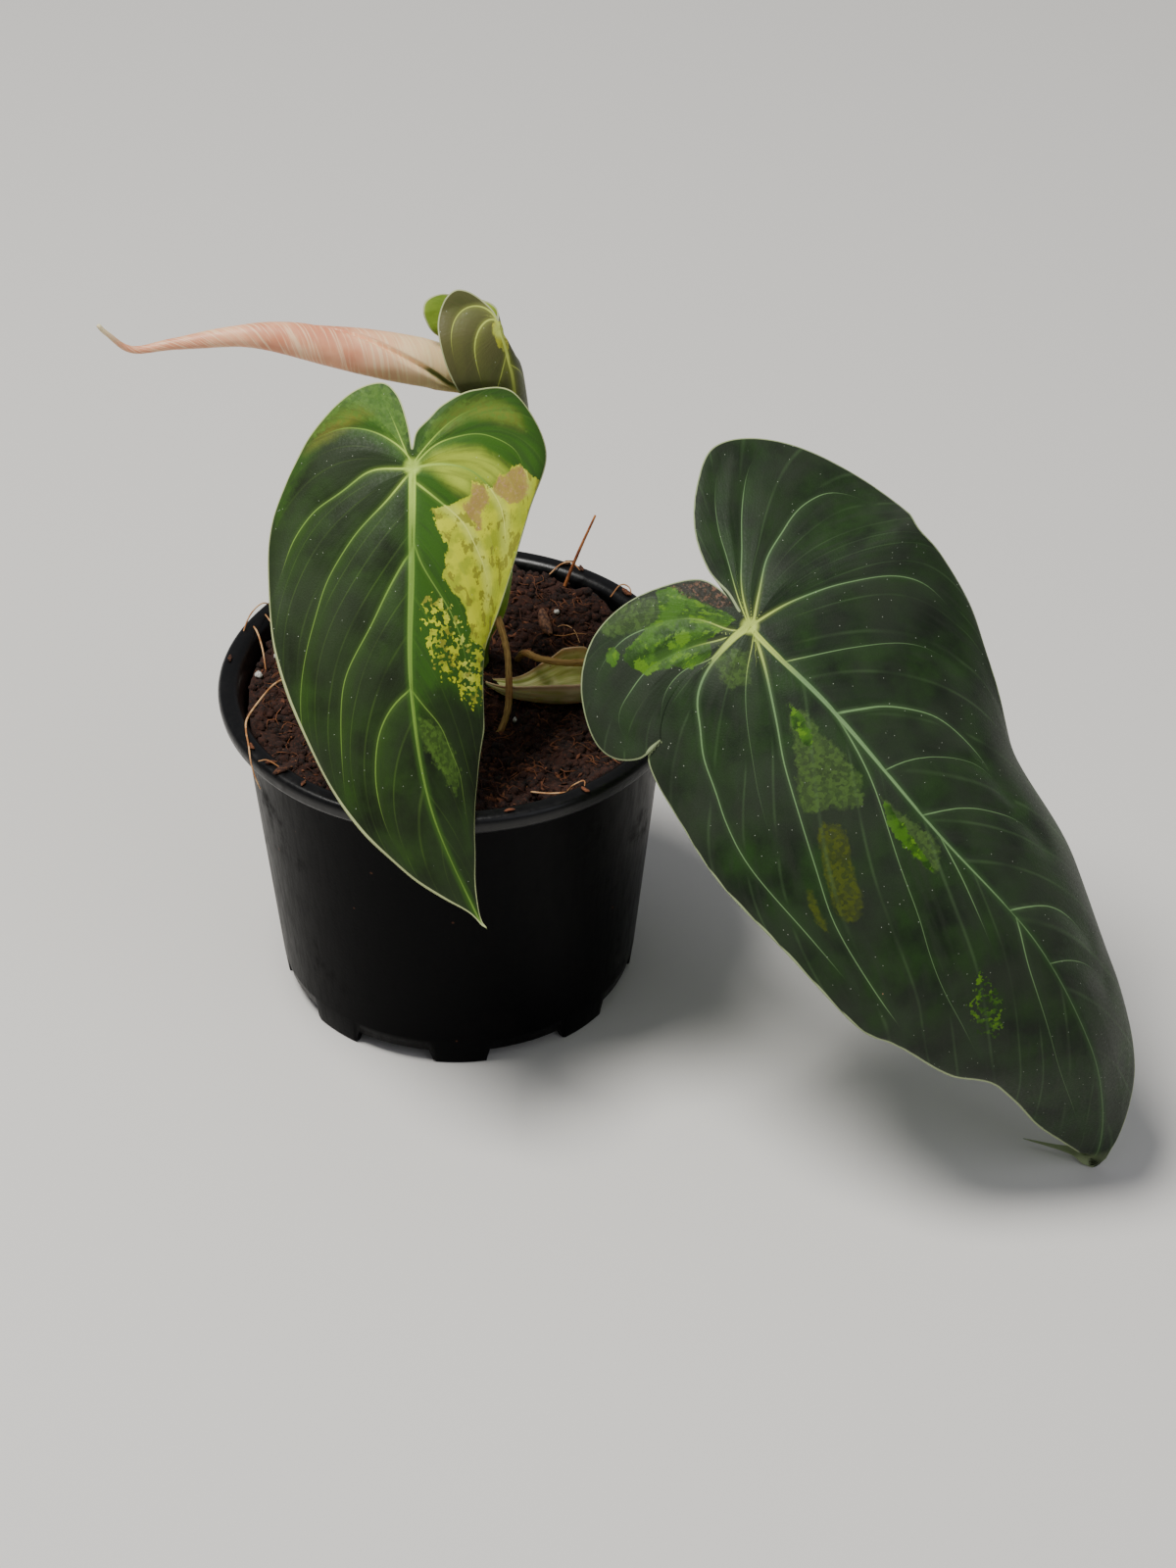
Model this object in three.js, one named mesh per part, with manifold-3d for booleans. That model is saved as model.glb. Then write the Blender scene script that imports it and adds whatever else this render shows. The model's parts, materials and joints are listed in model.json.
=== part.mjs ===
// A young variegated black gold philodendron growing in a 12 cm nursery pot.
//
// Millimetres, +Z up. The origin is the centre of the pot's footprint on the table, and -Y is the side
// that the plant faces. A creeping stem lies half sunk in the potting mix, turns up behind the front
// leaf, and carries one leaf at each node: the big right leaf, the front leaf, the small upper leaf and,
// at its tip, a new leaf that is still rolled.

import * as THREE from 'three';
import { mergeVertices } from 'three/addons/utils/BufferGeometryUtils.js';
import Module from 'manifold-3d';

// Driving dimensions

const CLEAR = 0.3; // air between neighbouring pieces
const RIM_RADIUS = 60;
const RIM_WIDTH = 4.5;
const LIP_DROP = 4;
const POT_HEIGHT = 90;
const FOOT_RADIUS = 45.5;
const FOOT_WIDTH = 2;
const FOOT_NOTCHES = 8;
const NOTCH_WIDTH = 21;
const NOTCH_HEIGHT = 4;
const WALL = 1.1;
const FLOOR_LIFT = 4.5; // height of the pot's floor above the table
const FLOOR_THICK = 1.5;
const DRAIN_RADIUS = 3.5;
const DRAIN_CIRCLE = 33;
const PAD_RADIUS = 9; // flat pad under the middle of the floor, level with the feet
const SOIL_LEVEL = 84;
const BANK = 5; // how much higher the mix lies at the back
const BLADE_THICK = 0.8;

// Solids: closed meshes joined and cut as manifolds

const wasm = await Module();
wasm.setup();

function toSolid(geometry) {
  const bare = geometry.clone();
  bare.deleteAttribute('normal');
  bare.deleteAttribute('uv');
  const merged = mergeVertices(bare, 1e-4);
  return new wasm.Manifold(new wasm.Mesh({
    numProp: 3,
    vertProperties: new Float32Array(merged.attributes.position.array),
    triVerts: new Uint32Array(merged.index.array),
  }));
}

function toGeometry(solid) {
  const mesh = solid.getMesh();
  const geometry = new THREE.BufferGeometry();
  geometry.setAttribute('position', new THREE.BufferAttribute(mesh.vertProperties, 3));
  geometry.setIndex(new THREE.BufferAttribute(mesh.triVerts, 1));
  return geometry;
}

function largestPiece(solid) {
  return solid.decompose().sort((a, b) => b.volume() - a.volume())[0];
}

function seededRandom(seed) {
  let state = seed;
  return () => {
    state = (state * 1664525 + 1013904223) % 4294967296;
    return state / 4294967296;
  };
}

const vec = (x, y, z) => new THREE.Vector3(x, y, z);
const degrees = THREE.MathUtils.degToRad;

function curveThrough(points) {
  return new THREE.CatmullRomCurve3(points.map((p) => vec(...p)), false, 'catmullrom', 0.5);
}

// The value of an evenly spaced list of numbers at t from 0 to 1
function valueAlong(list, t) {
  const place = t * (list.length - 1);
  const index = Math.min(Math.floor(place), list.length - 2);
  return THREE.MathUtils.lerp(list[index], list[index + 1], place - index);
}

// A round tube along a curve with a blunt point at each end. outline(k / sides) scales its radius round
// the section, and turn(t) rotates the section along the way.
function tube({ points, radii, sides = 12, steps = 24, grow = 0, outline = () => 1, turn = () => 0 }) {
  const curve = curveThrough(points);
  const frames = curve.computeFrenetFrames(steps, false);
  const position = [];
  const index = [];
  for (let i = 0; i <= steps; i += 1) {
    const centre = curve.getPointAt(i / steps);
    const radius = valueAlong(radii, i / steps) + grow;
    for (let k = 0; k < sides; k += 1) {
      const angle = turn(i / steps) + (k / sides) * 2 * Math.PI;
      const reach = radius * outline(k / (sides - 1));
      const rim = centre.clone()
        .addScaledVector(frames.normals[i], reach * Math.cos(angle))
        .addScaledVector(frames.binormals[i], reach * Math.sin(angle));
      position.push(rim.x, rim.y, rim.z);
    }
  }
  const ends = [
    curve.getPointAt(0).addScaledVector(frames.tangents[0], -0.6 * (radii[0] + grow)),
    curve.getPointAt(1).addScaledVector(frames.tangents[steps], 0.6 * (radii.at(-1) + grow)),
  ];
  ends.forEach((end) => position.push(end.x, end.y, end.z));
  const first = sides * (steps + 1);
  for (let k = 0; k < sides; k += 1) {
    const next = (k + 1) % sides;
    index.push(first, next, k);
    index.push(first + 1, steps * sides + k, steps * sides + next);
    for (let i = 0; i < steps; i += 1) {
      const low = i * sides;
      const high = low + sides;
      index.push(low + k, low + next, high + next, low + k, high + next, high + k);
    }
  }
  const geometry = new THREE.BufferGeometry();
  geometry.setAttribute('position', new THREE.Float32BufferAttribute(position, 3));
  geometry.setIndex(index);
  return geometry;
}

// A closed sheet over a net of faces: one skin above the middle surface and one below it, split into
// the same triangles, with a wall wherever the net has an open edge. A point is { at, up, above, below }.
function sheet(points, quads) {
  const names = new Map();
  const kept = [];
  const slot = points.map((point) => {
    const name = point.at.toArray().map((value) => value.toFixed(3)).join();
    if (!names.has(name)) {
      names.set(name, kept.length);
      kept.push(point);
    }
    return names.get(name);
  });
  const faces = quads
    .flatMap(([a, b, c, d]) => [[a, b, c], [a, c, d]])
    .map((face) => face.map((corner) => slot[corner]))
    .filter(([a, b, c]) => a !== b && b !== c && c !== a);
  const edges = new Set(faces.flatMap(([a, b, c]) => [`${a} ${b}`, `${b} ${c}`, `${c} ${a}`]));
  const lower = kept.length;
  const index = [];
  for (const [a, b, c] of faces) {
    index.push(a, b, c, lower + c, lower + b, lower + a);
    for (const [from, to] of [[a, b], [b, c], [c, a]]) {
      if (!edges.has(`${to} ${from}`)) {
        index.push(to, from, lower + from, to, lower + from, lower + to);
      }
    }
  }
  const top = kept.flatMap(({ at, up, above }) => at.clone().addScaledVector(up, above).toArray());
  const bottom = kept.flatMap(({ at, up, below }) => at.clone().addScaledVector(up, -below).toArray());
  const geometry = new THREE.BufferGeometry();
  geometry.setAttribute('position', new THREE.Float32BufferAttribute([...top, ...bottom], 3));
  geometry.setIndex(index);
  return geometry;
}

// Leaf blades
//
// A blade hangs from its midrib, a curve through a few stations. A station holds the midrib's point,
// the way the upper face looks there, and for each half how far it folds down at the midrib and how
// much more it turns down in each 10 mm outwards, both in degrees. A third pair, where given, is a
// sharp extra turn close to the midrib.
// A blade's outline is drawn flat, in millimetres along the midrib from the petiole and out from it.
// Each row of ribs is a vein-like line: where it leaves the midrib, where it bends, and where it meets
// the margin. The rows run from the notch at the petiole, round the basal lobe, to the drip tip.

const FINE = 24; // samples of the midrib between two stations

class Blade {
  constructor({ stations, junction, ribs, wave }) {
    this.ribs = ribs;
    this.wave = wave;
    const padded = [
      stations[0].map((value, i) => 2 * value - stations[1][i]),
      ...stations,
      stations.at(-1).map((value, i) => 2 * value - stations.at(-2)[i]),
    ];
    this.samples = [];
    for (let span = 1; span < padded.length - 2; span += 1) {
      for (let step = 0; step < FINE; step += 1) {
        this.samples.push(Blade.between(padded, span, step / FINE));
      }
    }
    this.samples.push([...stations.at(-1)]);
    const spots = this.samples.map((sample) => vec(...sample));
    this.along = [0];
    spots.slice(1).forEach((spot, i) => this.along.push(this.along[i] + spot.distanceTo(spots[i])));
    const zero = this.along[junction * FINE];
    this.along = this.along.map((length) => length - zero);
    this.tangents = spots.map((_, i) => {
      const ahead = spots[Math.min(i + 1, spots.length - 1)];
      return ahead.clone().sub(spots[Math.max(i - 1, 0)]).normalize();
    });
  }

  // Catmull-Rom between two rows of numbers
  static between(rows, i, t) {
    return rows[i].map((value, n) => {
      const before = rows[i - 1][n];
      const after = rows[i + 1][n];
      const last = rows[i + 2][n];
      return 0.5 * (2 * value + (after - before) * t
        + (2 * before - 5 * value + 4 * after - last) * t * t
        + (3 * value - before - 3 * after + last) * t * t * t);
    });
  }

  // The midrib's frame at length u from the petiole: straight on past either end
  frameAt(u) {
    const last = this.along.length - 1;
    const place = THREE.MathUtils.clamp(u, this.along[0], this.along[last]);
    let i = this.along.findIndex((length) => length > place) - 1;
    if (i < 0) {
      i = last - 1;
    }
    const t = (place - this.along[i]) / (this.along[i + 1] - this.along[i]);
    const row = this.samples[i].map((value, n) => THREE.MathUtils.lerp(value, this.samples[i + 1][n], t));
    const tangent = this.tangents[i].clone().lerp(this.tangents[i + 1], t).normalize();
    const at = vec(row[0], row[1], row[2]).addScaledVector(tangent, u - place);
    const up = vec(row[3], row[4], row[5]);
    up.addScaledVector(tangent, -up.dot(tangent)).normalize();
    return { at, up, right: up.clone().cross(tangent), turns: row.slice(6).map(degrees) };
  }

  // The point u along and w out on one half: side is -1 on the left and 1 on the right
  pointAt(side, u, w) {
    const { at, up, right, turns } = this.frameAt(u);
    const [fold, curl, twist = 0] = side < 0 ? turns.filter((_, n) => n % 2 === 0)
      : turns.filter((_, n) => n % 2 === 1);
    const angle = (s) => fold + (curl * s) / 10 + twist * (1 - Math.exp(-Math.abs(s) / 4));
    const pieces = 12;
    for (let n = 0; n < pieces; n += 1) {
      const mid = angle((w * (n + 0.5)) / pieces);
      at.addScaledVector(right, (side * w * Math.cos(mid)) / pieces);
      at.addScaledVector(up, (-w * Math.sin(mid)) / pieces);
    }
    const facing = Math.abs(w) < 1e-6 ? up
      : up.multiplyScalar(Math.cos(angle(w))).addScaledVector(right, side * Math.sin(angle(w)));
    return { at, facing };
  }

  // The point a of the way out along the rib at b, both from 0 to 1
  ribPoint(side, a, b) {
    const rows = side < 0 ? this.ribs.left : this.ribs.right;
    const place = b * (rows.length - 1);
    const i = Math.min(Math.floor(place), rows.length - 2);
    const before = rows[i - 1] ?? rows[i].map((value, n) => 2 * value - rows[i + 1][n]);
    const last = rows[i + 2] ?? rows[i + 1].map((value, n) => 2 * value - rows[i][n]);
    const row = Blade.between([before, rows[i], rows[i + 1], last], 1, place - i);
    const origin = valueAlong(rows.map((rib) => rib[0]), b);
    const start = (1 - a) * (1 - a);
    const bend = 2 * a * (1 - a);
    const u = start * origin + bend * row[1] + a * a * row[3];
    const w = bend * row[2] + a * a * row[4];
    const { at, facing } = this.pointAt(side, u, w);
    const [height, count] = this.wave;
    at.addScaledVector(facing, height * a ** 3 * Math.sin(Math.PI * b) * Math.sin(count * 2 * Math.PI * b));
    return { at, facing, u, w };
  }

  // The blade as one closed sheet, with its midrib raised on the underside
  solid({ out, rows, grow = 0, midrib = 0.9 }) {
    const points = [];
    const quads = [];
    for (const side of [-1, 1]) {
      const first = points.length;
      for (let j = 0; j <= rows; j += 1) {
        for (const a of out) {
          const { at, facing, u, w } = this.ribPoint(side, a, j / rows);
          const slim = THREE.MathUtils.clamp(1 - u / this.along.at(-1), 0, 1);
          const ridge = midrib * slim * Math.exp(-((w / 1.6) ** 2)) * (u < 0 ? Math.exp(u / 3) : 1);
          const above = BLADE_THICK / 2 + grow;
          points.push({ at, up: facing, above, below: above + ridge });
        }
      }
      for (let j = 0; j < rows; j += 1) {
        for (let i = 0; i < out.length - 1; i += 1) {
          const low = first + j * out.length + i;
          const high = low + out.length;
          quads.push(side < 0 ? [low, low + 1, high + 1, high] : [low, high, high + 1, low + 1]);
        }
      }
    }
    return sheet(points, quads);
  }
}

const RIGHT_LEAF = {
  junction: 1,
  stations: [
    [63, -27, 148, 0, -0.55, 0.83, 4, 8, 6, 2],
    [73, -45, 138, 0.12, -0.7, 0.68, 6, 7, 5, 0],
    [93, -62, 125, 0.22, -0.7, 0.64, 10, 10, 4, 3],
    [117, -82, 104.5, 0.28, -0.72, 0.58, 14, 16, 4, 10],
    [141, -96, 82, 0.32, -0.74, 0.52, 16, 23, 4, 11],
    [155.5, -99, 53, 0.36, -0.8, 0.42, 18, 25, 4, 12],
    [161, -94, 27.5, 0.36, -0.86, 0.28, 18, 22, 4, 11],
    [161.5, -86, 4.6, 0.2, -0.9, 0.4, 10, 10, 0, 0],
    [156, -81.5, 2, 0, -0.2, 1, 0, 0, 0, 0],
    [148, -78, 1.6, 0, 0, 1, 0, 0, 0, 0],
  ],
  ribs: {
    left: [
      [0, -2, 0, -4.5, 0], [0, -6, 0.3, -10, 0.8], [0, -11, 2, -16.5, 4.8], [0, -15, 6, -19.6, 14],
      [0, -18, 11, -20.3, 24], [0, -20, 17, -17.5, 34], [0, -19.5, 24, -11, 42.5], [0, -14, 30, -2.5, 47.2],
      [0, -8, 31, 3, 46.4], [0, -4, 29, 6.8, 41], [0, -2, 26, 6.9, 34.6], [0, 0, 28, 8, 40.5],
      [0, 7, 33, 20, 45], [1, 20, 40, 42, 48], [3, 40, 43, 66, 47], [10, 60, 41, 92, 47],
      [24, 76, 36, 115, 40.6], [42, 92, 28, 129, 34.5], [58, 103, 22, 137, 26.5], [76, 116, 16.5, 150, 22.3],
      [96, 130, 12, 165, 17], [118, 146, 8, 176, 10.5], [146, 164, 4.3, 186, 4.6], [180, 188, 1.3, 197, 1.2],
      [208, 208, 0, 208, 0],
    ],
    right: [
      [0, -2, 0, -4.5, 0], [0, -6, 0, -10, -0.2], [0, -12, -0.8, -18, -2.3], [0, -19, -0.5, -29, -0.5],
      [0, -24, 3, -40, 5.5], [0, -29, 8, -48, 14], [0, -33, 14, -46.5, 26], [0, -34, 21, -38, 38],
      [0, -31, 30, -22, 49], [0, -26, 34, -9, 50.5], [0, -20, 37, 4, 50], [0, -13, 40, 16, 51.3],
      [0, -6, 41.5, 28, 51.6], [1, 2, 43, 40, 51], [3, 14, 43.5, 53, 50], [10, 30, 42, 68, 49],
      [24, 47, 39, 86, 47.2], [42, 66, 34.5, 104, 43.2], [58, 81, 29.5, 119, 37.8], [76, 99, 24, 134, 31],
      [96, 116, 18.5, 148, 23.5], [118, 135, 12, 162, 17], [146, 158, 6.5, 175, 8.5],
      [180, 186, 1.6, 193, 1.6], [208, 208, 0, 208, 0],
    ],
  },
  wave: [0.6, 6],
};

const FRONT_LEAF = {
  junction: 1,
  stations: [
    [-9, 2, 178.5, 0, -0.6, 0.8, 4, 4, 6, 6],
    [-8.5, -15, 164, 0, -0.75, 0.66, 6, 6, 6, 6],
    [-8.5, -33, 146.5, 0.08, -0.8, 0.6, 10, 14, 5, 6],
    [-8.5, -51, 124.5, 0.2, -0.82, 0.5, 14, 20, 5, 6],
    [-4, -66, 99.5, 0.28, -0.82, 0.45, 18, 26, 5, 6],
    [6.5, -77, 76, 0.3, -0.84, 0.4, 22, 30, 5, 6],
    [9.5, -80, 72.5, 0.3, -0.84, 0.4, 10, 10, 0, 0],
  ],
  ribs: {
    left: [
      [0, -2, 0, -4.5, 0], [0, -6, 1, -11, 1], [0, -12, 2, -18.5, 3.5], [0, -14, 5, -21.7, 8],
      [0, -16, 9, -18, 17], [0, -17, 15, -6, 28.5], [0, -11, 23, 13, 36.5], [0, 1, 31, 38, 35],
      [1, 17, 34, 54, 31], [3, 33, 32, 68, 26], [12, 47, 29, 77, 22], [22, 58, 25, 86, 17.5],
      [38, 66, 20, 92.5, 14], [54, 74, 14, 99, 10.3], [80, 92, 7, 106, 5.5], [100, 106, 2, 112, 1.2],
      [117, 117, 0, 117, 0],
    ],
    right: [
      [0, -2, 0, -4.5, 0], [0, -4, 0.5, -8.6, 1], [0, -7, 2, -12, 4], [0, -10, 4, -16, 8],
      [0, -14, 7, -19.6, 15.5], [0, -18, 12, -19.5, 26], [0, -20, 20, -6, 34], [0, -13, 27, 10, 29.5],
      [1, -3, 28, 33, 24.6], [3, 13, 25, 47.5, 21.7], [12, 30, 21, 64, 21.5], [22, 43, 18, 72, 20.5],
      [38, 58, 15, 84, 17], [54, 74, 12, 97, 9.5], [80, 92, 6, 105, 4.3], [100, 106, 2, 112, 1.2],
      [117, 117, 0, 117, 0],
    ],
  },
  wave: [0.7, 5],
};

const SMALL_LEAF = {
  junction: 1,
  stations: [
    [11, 14, 194, 0.2, -0.7, 0.7, 0, 60, 8, 6, 0, 110],
    [13, 8.5, 188.1, 0.3, -0.8, 0.5, 0, 35, 10, 6, 0, 115],
    [15.2, 6.5, 179.2, 0.4, -0.85, 0.35, 4, 10, 12, 4, 0, 90],
    [16.1, 7, 172, 0.4, -0.9, 0.2, 6, 8, 12, 4, 0, 72],
    [16.7, 9.5, 157.9, 0.4, -0.9, 0, 8, 8, 10, 4, 0, 65],
    [16.5, 12, 142.5, 0.4, -0.9, -0.2, 8, 8, 8, 4, 0, 60],
    [16.3, 13, 134.5, 0.3, -0.9, -0.3, 6, 6, 0, 0, 0, 0],
  ],
  ribs: {
    left: [
      [0, -1, 0, -2.5, 0], [0, -3, 0.5, -5.5, 1], [0, -5, 1.5, -9, 3.3], [0, -7, 3.5, -11.5, 6],
      [0, -9, 6, -12.3, 9], [0, -9, 9, -10, 12.3], [0, -6, 12, -4.5, 15], [0, -1, 14, 4, 15.5],
      [0, 4, 15, 11.5, 14.3], [1, 9, 14, 18, 12], [5, 15, 12, 26, 9.3], [12, 22, 9, 34, 6.3],
      [24, 31, 5, 42, 3.4], [38, 42, 2, 48, 1.2], [55, 55, 0, 55, 0],
    ],
    right: [
      [0, -1, 0, -2.5, 0], [0, -3, 0.5, -5, 1.5], [0, -5, 1.5, -8, 5], [0, -7, 4, -10, 10],
      [0, -8, 7, -12, 15], [0, -8, 11, -10.5, 19.5], [0, -6, 14, -4, 20.5], [0, -1, 15, 4, 19],
      [0, 4, 16, 12, 17], [1, 9, 15, 19, 15], [5, 15, 13, 27, 12], [12, 22, 10, 35, 8],
      [24, 31, 5, 42, 4], [38, 42, 2, 48, 1.2], [55, 55, 0, 55, 0],
    ],
  },
  wave: [0.3, 4],
};

// Stems and petioles: a route and the radii along it. A petiole starts inside the stem and ends in its
// blade, and is then cut back to leave CLEAR to both.

const STEM = {
  points: [
    [44, 18, 77], [37, 14, 83], [25, 13, 79.5], [13, 15, 76.5], [5.5, 16, 82], [5.5, 13.5, 94],
    [9.5, 11, 106], [11, 15, 124], [10.5, 19.5, 141], [9, 20, 153],
  ],
  radii: [3.6, 5.2, 4, 3.8, 3.8, 4.2, 4.6, 3.2, 4, 2.8],
  sides: 12,
  steps: 38,
};
const PETIOLE_RIGHT = {
  points: [[38, 13, 84], [43, 5, 98], [53, -12, 117], [65, -33, 131.5], [72.4, -44, 137.4]],
  radii: [4.4, 3.1, 2.7, 2.6, 2.9],
};
const PETIOLE_FRONT = {
  points: [[9.5, 11, 107], [3, 7, 119], [-4, 3, 137], [-8, -3, 153], [-8.5, -17, 166.5]],
  radii: [3.8, 2.5, 2.1, 2.1, 2.4],
};
const PETIOLE_SMALL = {
  points: [
    [11, 19.5, 141], [14, 18.5, 152], [13, 16.5, 166], [11.8, 14, 179], [12, 11.8, 184.5],
    [12.2, 10.6, 186.6],
  ],
  radii: [3.4, 2, 1.5, 1.4, 1.3, 1.2],
};
const PETIOLE_NEW = {
  points: [[9, 20, 151], [8.8, 18.5, 160], [7.6, 16.2, 166], [2, 14.7, 171.5]],
  radii: [3.1, 2.5, 2.4, 2.4],
};

// The new leaf: a blade rolled round itself, from its base near the stem's tip out to its drip tip
const ROLLED_LEAF = {
  points: [
    [5, 14.9, 169.5], [1.3, 14.5, 171.9], [-4.4, 14, 175], [-13.9, 12.5, 178.2], [-28, 10.5, 182.3],
    [-47, 8, 186.7], [-66, 5, 186.3], [-76.4, 3, 185.9], [-82, 1.5, 191.3], [-84, 1, 194],
  ],
  radii: [3.2, 5.2, 5.6, 5.6, 5.3, 4.7, 4, 3.2, 2.4, 2, 1.4, 1, 0.7, 0.5],
  sides: 14,
  steps: 40,
  overlap: 0.14, // how much prouder the outer edge of the roll stands than the layer under it
};

const ROOT_HANGING = {
  points: [
    [11, 8.5, 103], [13.3, 3, 97.5], [14, -2.6, 92.4], [13.9, -7.8, 86.8], [12.4, -11.6, 83],
    [10.3, -14, 80.6],
  ],
  radii: [1.1, 0.85, 0.85, 0.95, 0.85, 0.8],
  sides: 8,
  steps: 18,
};
const ROOT_LYING = {
  points: [
    [40, 8.5, 91.6], [36, 3.2, 92.8], [31, 1.6, 93.4], [27, 1.5, 93.6], [21.5, 3, 93.8], [17.8, 9.5, 90.8],
    [15.5, 15, 84],
  ],
  radii: [1.2, 1, 0.9, 0.9, 0.9, 0.9, 0.8],
  sides: 8,
  steps: 18,
};
const COIR_BRISTLE = {
  points: [[25.4, 40, 80], [26.9, 42, 85.4], [31.4, 44, 97.7], [36, 47, 107.8]],
  radii: [0.45, 0.45, 0.4, 0.35],
  sides: 6,
  steps: 8,
};

// The dry cataphyll: a boat-shaped sheath round node one, open on top, with its point to the left
const CATAPHYLL = {
  keel: [
    [41, 6, 83.4], [36.5, 1.5, 83.6], [31, -0.6, 83.8], [24, -0.2, 83.4], [15, 1.4, 83.8], [6.8, 5, 85.6],
  ],
  half: [5, 6, 6.4, 5.8, 4, 0.6], // half the boat's width along the keel
  depth: [8, 8.6, 8.4, 7, 4.4, 0.5],
  front: [80, 90, 95, 98, 98, 90], // how far each side wraps up from the keel, in degrees
  back: [90, 112, 118, 84, 58, 60],
};

// The pot

function potShell() {
  const wallTop = RIM_RADIUS - RIM_WIDTH - 1.2;
  const lipFoot = POT_HEIGHT - LIP_DROP;
  const profile = [
    [0, 0], [PAD_RADIUS, 0], [PAD_RADIUS + 1.5, FLOOR_LIFT],
    [FOOT_RADIUS - FOOT_WIDTH - 3, FLOOR_LIFT], [FOOT_RADIUS - FOOT_WIDTH, 0], [FOOT_RADIUS - 0.4, 0],
    [FOOT_RADIUS, 0.5], [wallTop, lipFoot - 1.5], [RIM_RADIUS - 1.4, lipFoot - 1],
    [RIM_RADIUS - 0.4, lipFoot], [RIM_RADIUS, POT_HEIGHT - 1.6], [RIM_RADIUS - 0.6, POT_HEIGHT - 0.4],
    [RIM_RADIUS - 1.8, POT_HEIGHT], [RIM_RADIUS - RIM_WIDTH, POT_HEIGHT],
    [RIM_RADIUS - RIM_WIDTH - 1, POT_HEIGHT - 0.8], [wallTop - WALL, lipFoot - 3],
    [FOOT_RADIUS - WALL - 0.6, FLOOR_LIFT + FLOOR_THICK + 2],
    [FOOT_RADIUS - WALL - 3, FLOOR_LIFT + FLOOR_THICK], [0, FLOOR_LIFT + FLOOR_THICK],
  ];
  const lathe = new THREE.LatheGeometry(profile.map(([r, z]) => new THREE.Vector2(r, z)), 48);
  lathe.rotateX(Math.PI / 2);
  let pot = toSolid(lathe);
  for (let i = 0; i < FOOT_NOTCHES; i += 1) {
    const angle = (i / FOOT_NOTCHES) * 2 * Math.PI + degrees(24);
    const notch = new THREE.BoxGeometry(12, NOTCH_WIDTH, 2 * NOTCH_HEIGHT);
    notch.translate(FOOT_RADIUS, 0, 0);
    notch.rotateZ(angle);
    const drain = new THREE.CylinderGeometry(DRAIN_RADIUS, DRAIN_RADIUS, 4 * FLOOR_THICK, 12);
    drain.rotateX(Math.PI / 2);
    drain.translate(DRAIN_CIRCLE, 0, FLOOR_LIFT);
    drain.rotateZ(angle);
    pot = pot.subtract(toSolid(notch)).subtract(toSolid(drain));
  }
  return largestPiece(pot);
}

// Pieces of the plant

const petioleTube = (petiole, grow = 0) => tube({ sides: 10, steps: 18, ...petiole, grow });

const blades = {
  right: new Blade(RIGHT_LEAF),
  front: new Blade(FRONT_LEAF),
  small: new Blade(SMALL_LEAF),
};
const FINE_OUT = [0, 0.05, 0.16, 0.34, 0.54, 0.74, 0.9, 1];
const COARSE_OUT = [0, 0.1, 0.3, 0.55, 0.8, 1];
const bladeNets = {
  right: { out: FINE_OUT, rows: 48, midrib: 1.3 },
  front: { out: FINE_OUT, rows: 34, midrib: 1 },
  small: { out: COARSE_OUT, rows: 26, midrib: 0.5 },
};

function petiole(route, blade) {
  let solid = toSolid(petioleTube(route)).subtract(toSolid(tube({ ...STEM, grow: CLEAR })));
  solid = largestPiece(solid);
  if (blade) {
    solid = solid.subtract(toSolid(blades[blade].solid({ ...bladeNets[blade], grow: CLEAR })));
  }
  return largestPiece(solid);
}

function rolledLeaf(grow = 0) {
  const spiral = (share) => 1 + ROLLED_LEAF.overlap * share;
  const turn = (t) => degrees(200) + t * degrees(300);
  return tube({ ...ROLLED_LEAF, outline: spiral, turn, grow });
}

function cataphyll() {
  const keel = curveThrough(CATAPHYLL.keel);
  const steps = 14;
  const across = 8;
  const points = [];
  const quads = [];
  for (let i = 0; i <= steps; i += 1) {
    const t = i / steps;
    const ahead = keel.getTangentAt(t);
    const side = vec(0, 0, 1).cross(ahead).normalize();
    const up = ahead.clone().cross(side);
    const half = valueAlong(CATAPHYLL.half, t);
    const depth = valueAlong(CATAPHYLL.depth, t);
    for (let k = 0; k <= across; k += 1) {
      const back = valueAlong(CATAPHYLL.back, t);
      const angle = degrees(THREE.MathUtils.lerp(-back, valueAlong(CATAPHYLL.front, t), k / across));
      const at = keel.getPointAt(t)
        .addScaledVector(side, half * Math.sin(angle))
        .addScaledVector(up, depth * (1 - Math.cos(angle)));
      const facing = side.clone().multiplyScalar(-Math.sin(angle)).addScaledVector(up, Math.cos(angle));
      points.push({ at, up: facing, above: 0.35, below: 0.35 });
    }
  }
  for (let i = 0; i < steps; i += 1) {
    for (let k = 0; k < across; k += 1) {
      const low = i * (across + 1) + k;
      const high = low + across + 1;
      quads.push([low, high, high + 1, low + 1]);
    }
  }
  const taken = [tube({ ...STEM, grow: CLEAR }), petioleTube(PETIOLE_RIGHT, CLEAR)].map(toSolid);
  return largestPiece(taken.reduce((whole, piece) => whole.subtract(piece), toSolid(sheet(points, quads))));
}

// The potting mix: it fills the pot to a lumpy top, with chips of bark and coir sunk into it

function soilHeight(x, y) {
  const lumps = 1.1 * Math.sin(x / 7 + 1) * Math.cos(y / 8 - 0.5)
    + 0.7 * Math.sin(x / 3.4 - y / 4.1) + 0.5 * Math.cos(x / 2.3 + y / 2.9 + 2);
  const hollow = 2.5 * Math.exp(-((x - 12) ** 2 + (y + 12) ** 2) / 160);
  const bank = BANK * THREE.MathUtils.smoothstep(y, 10, 46);
  return SOIL_LEVEL + lumps - hollow + bank;
}

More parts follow.
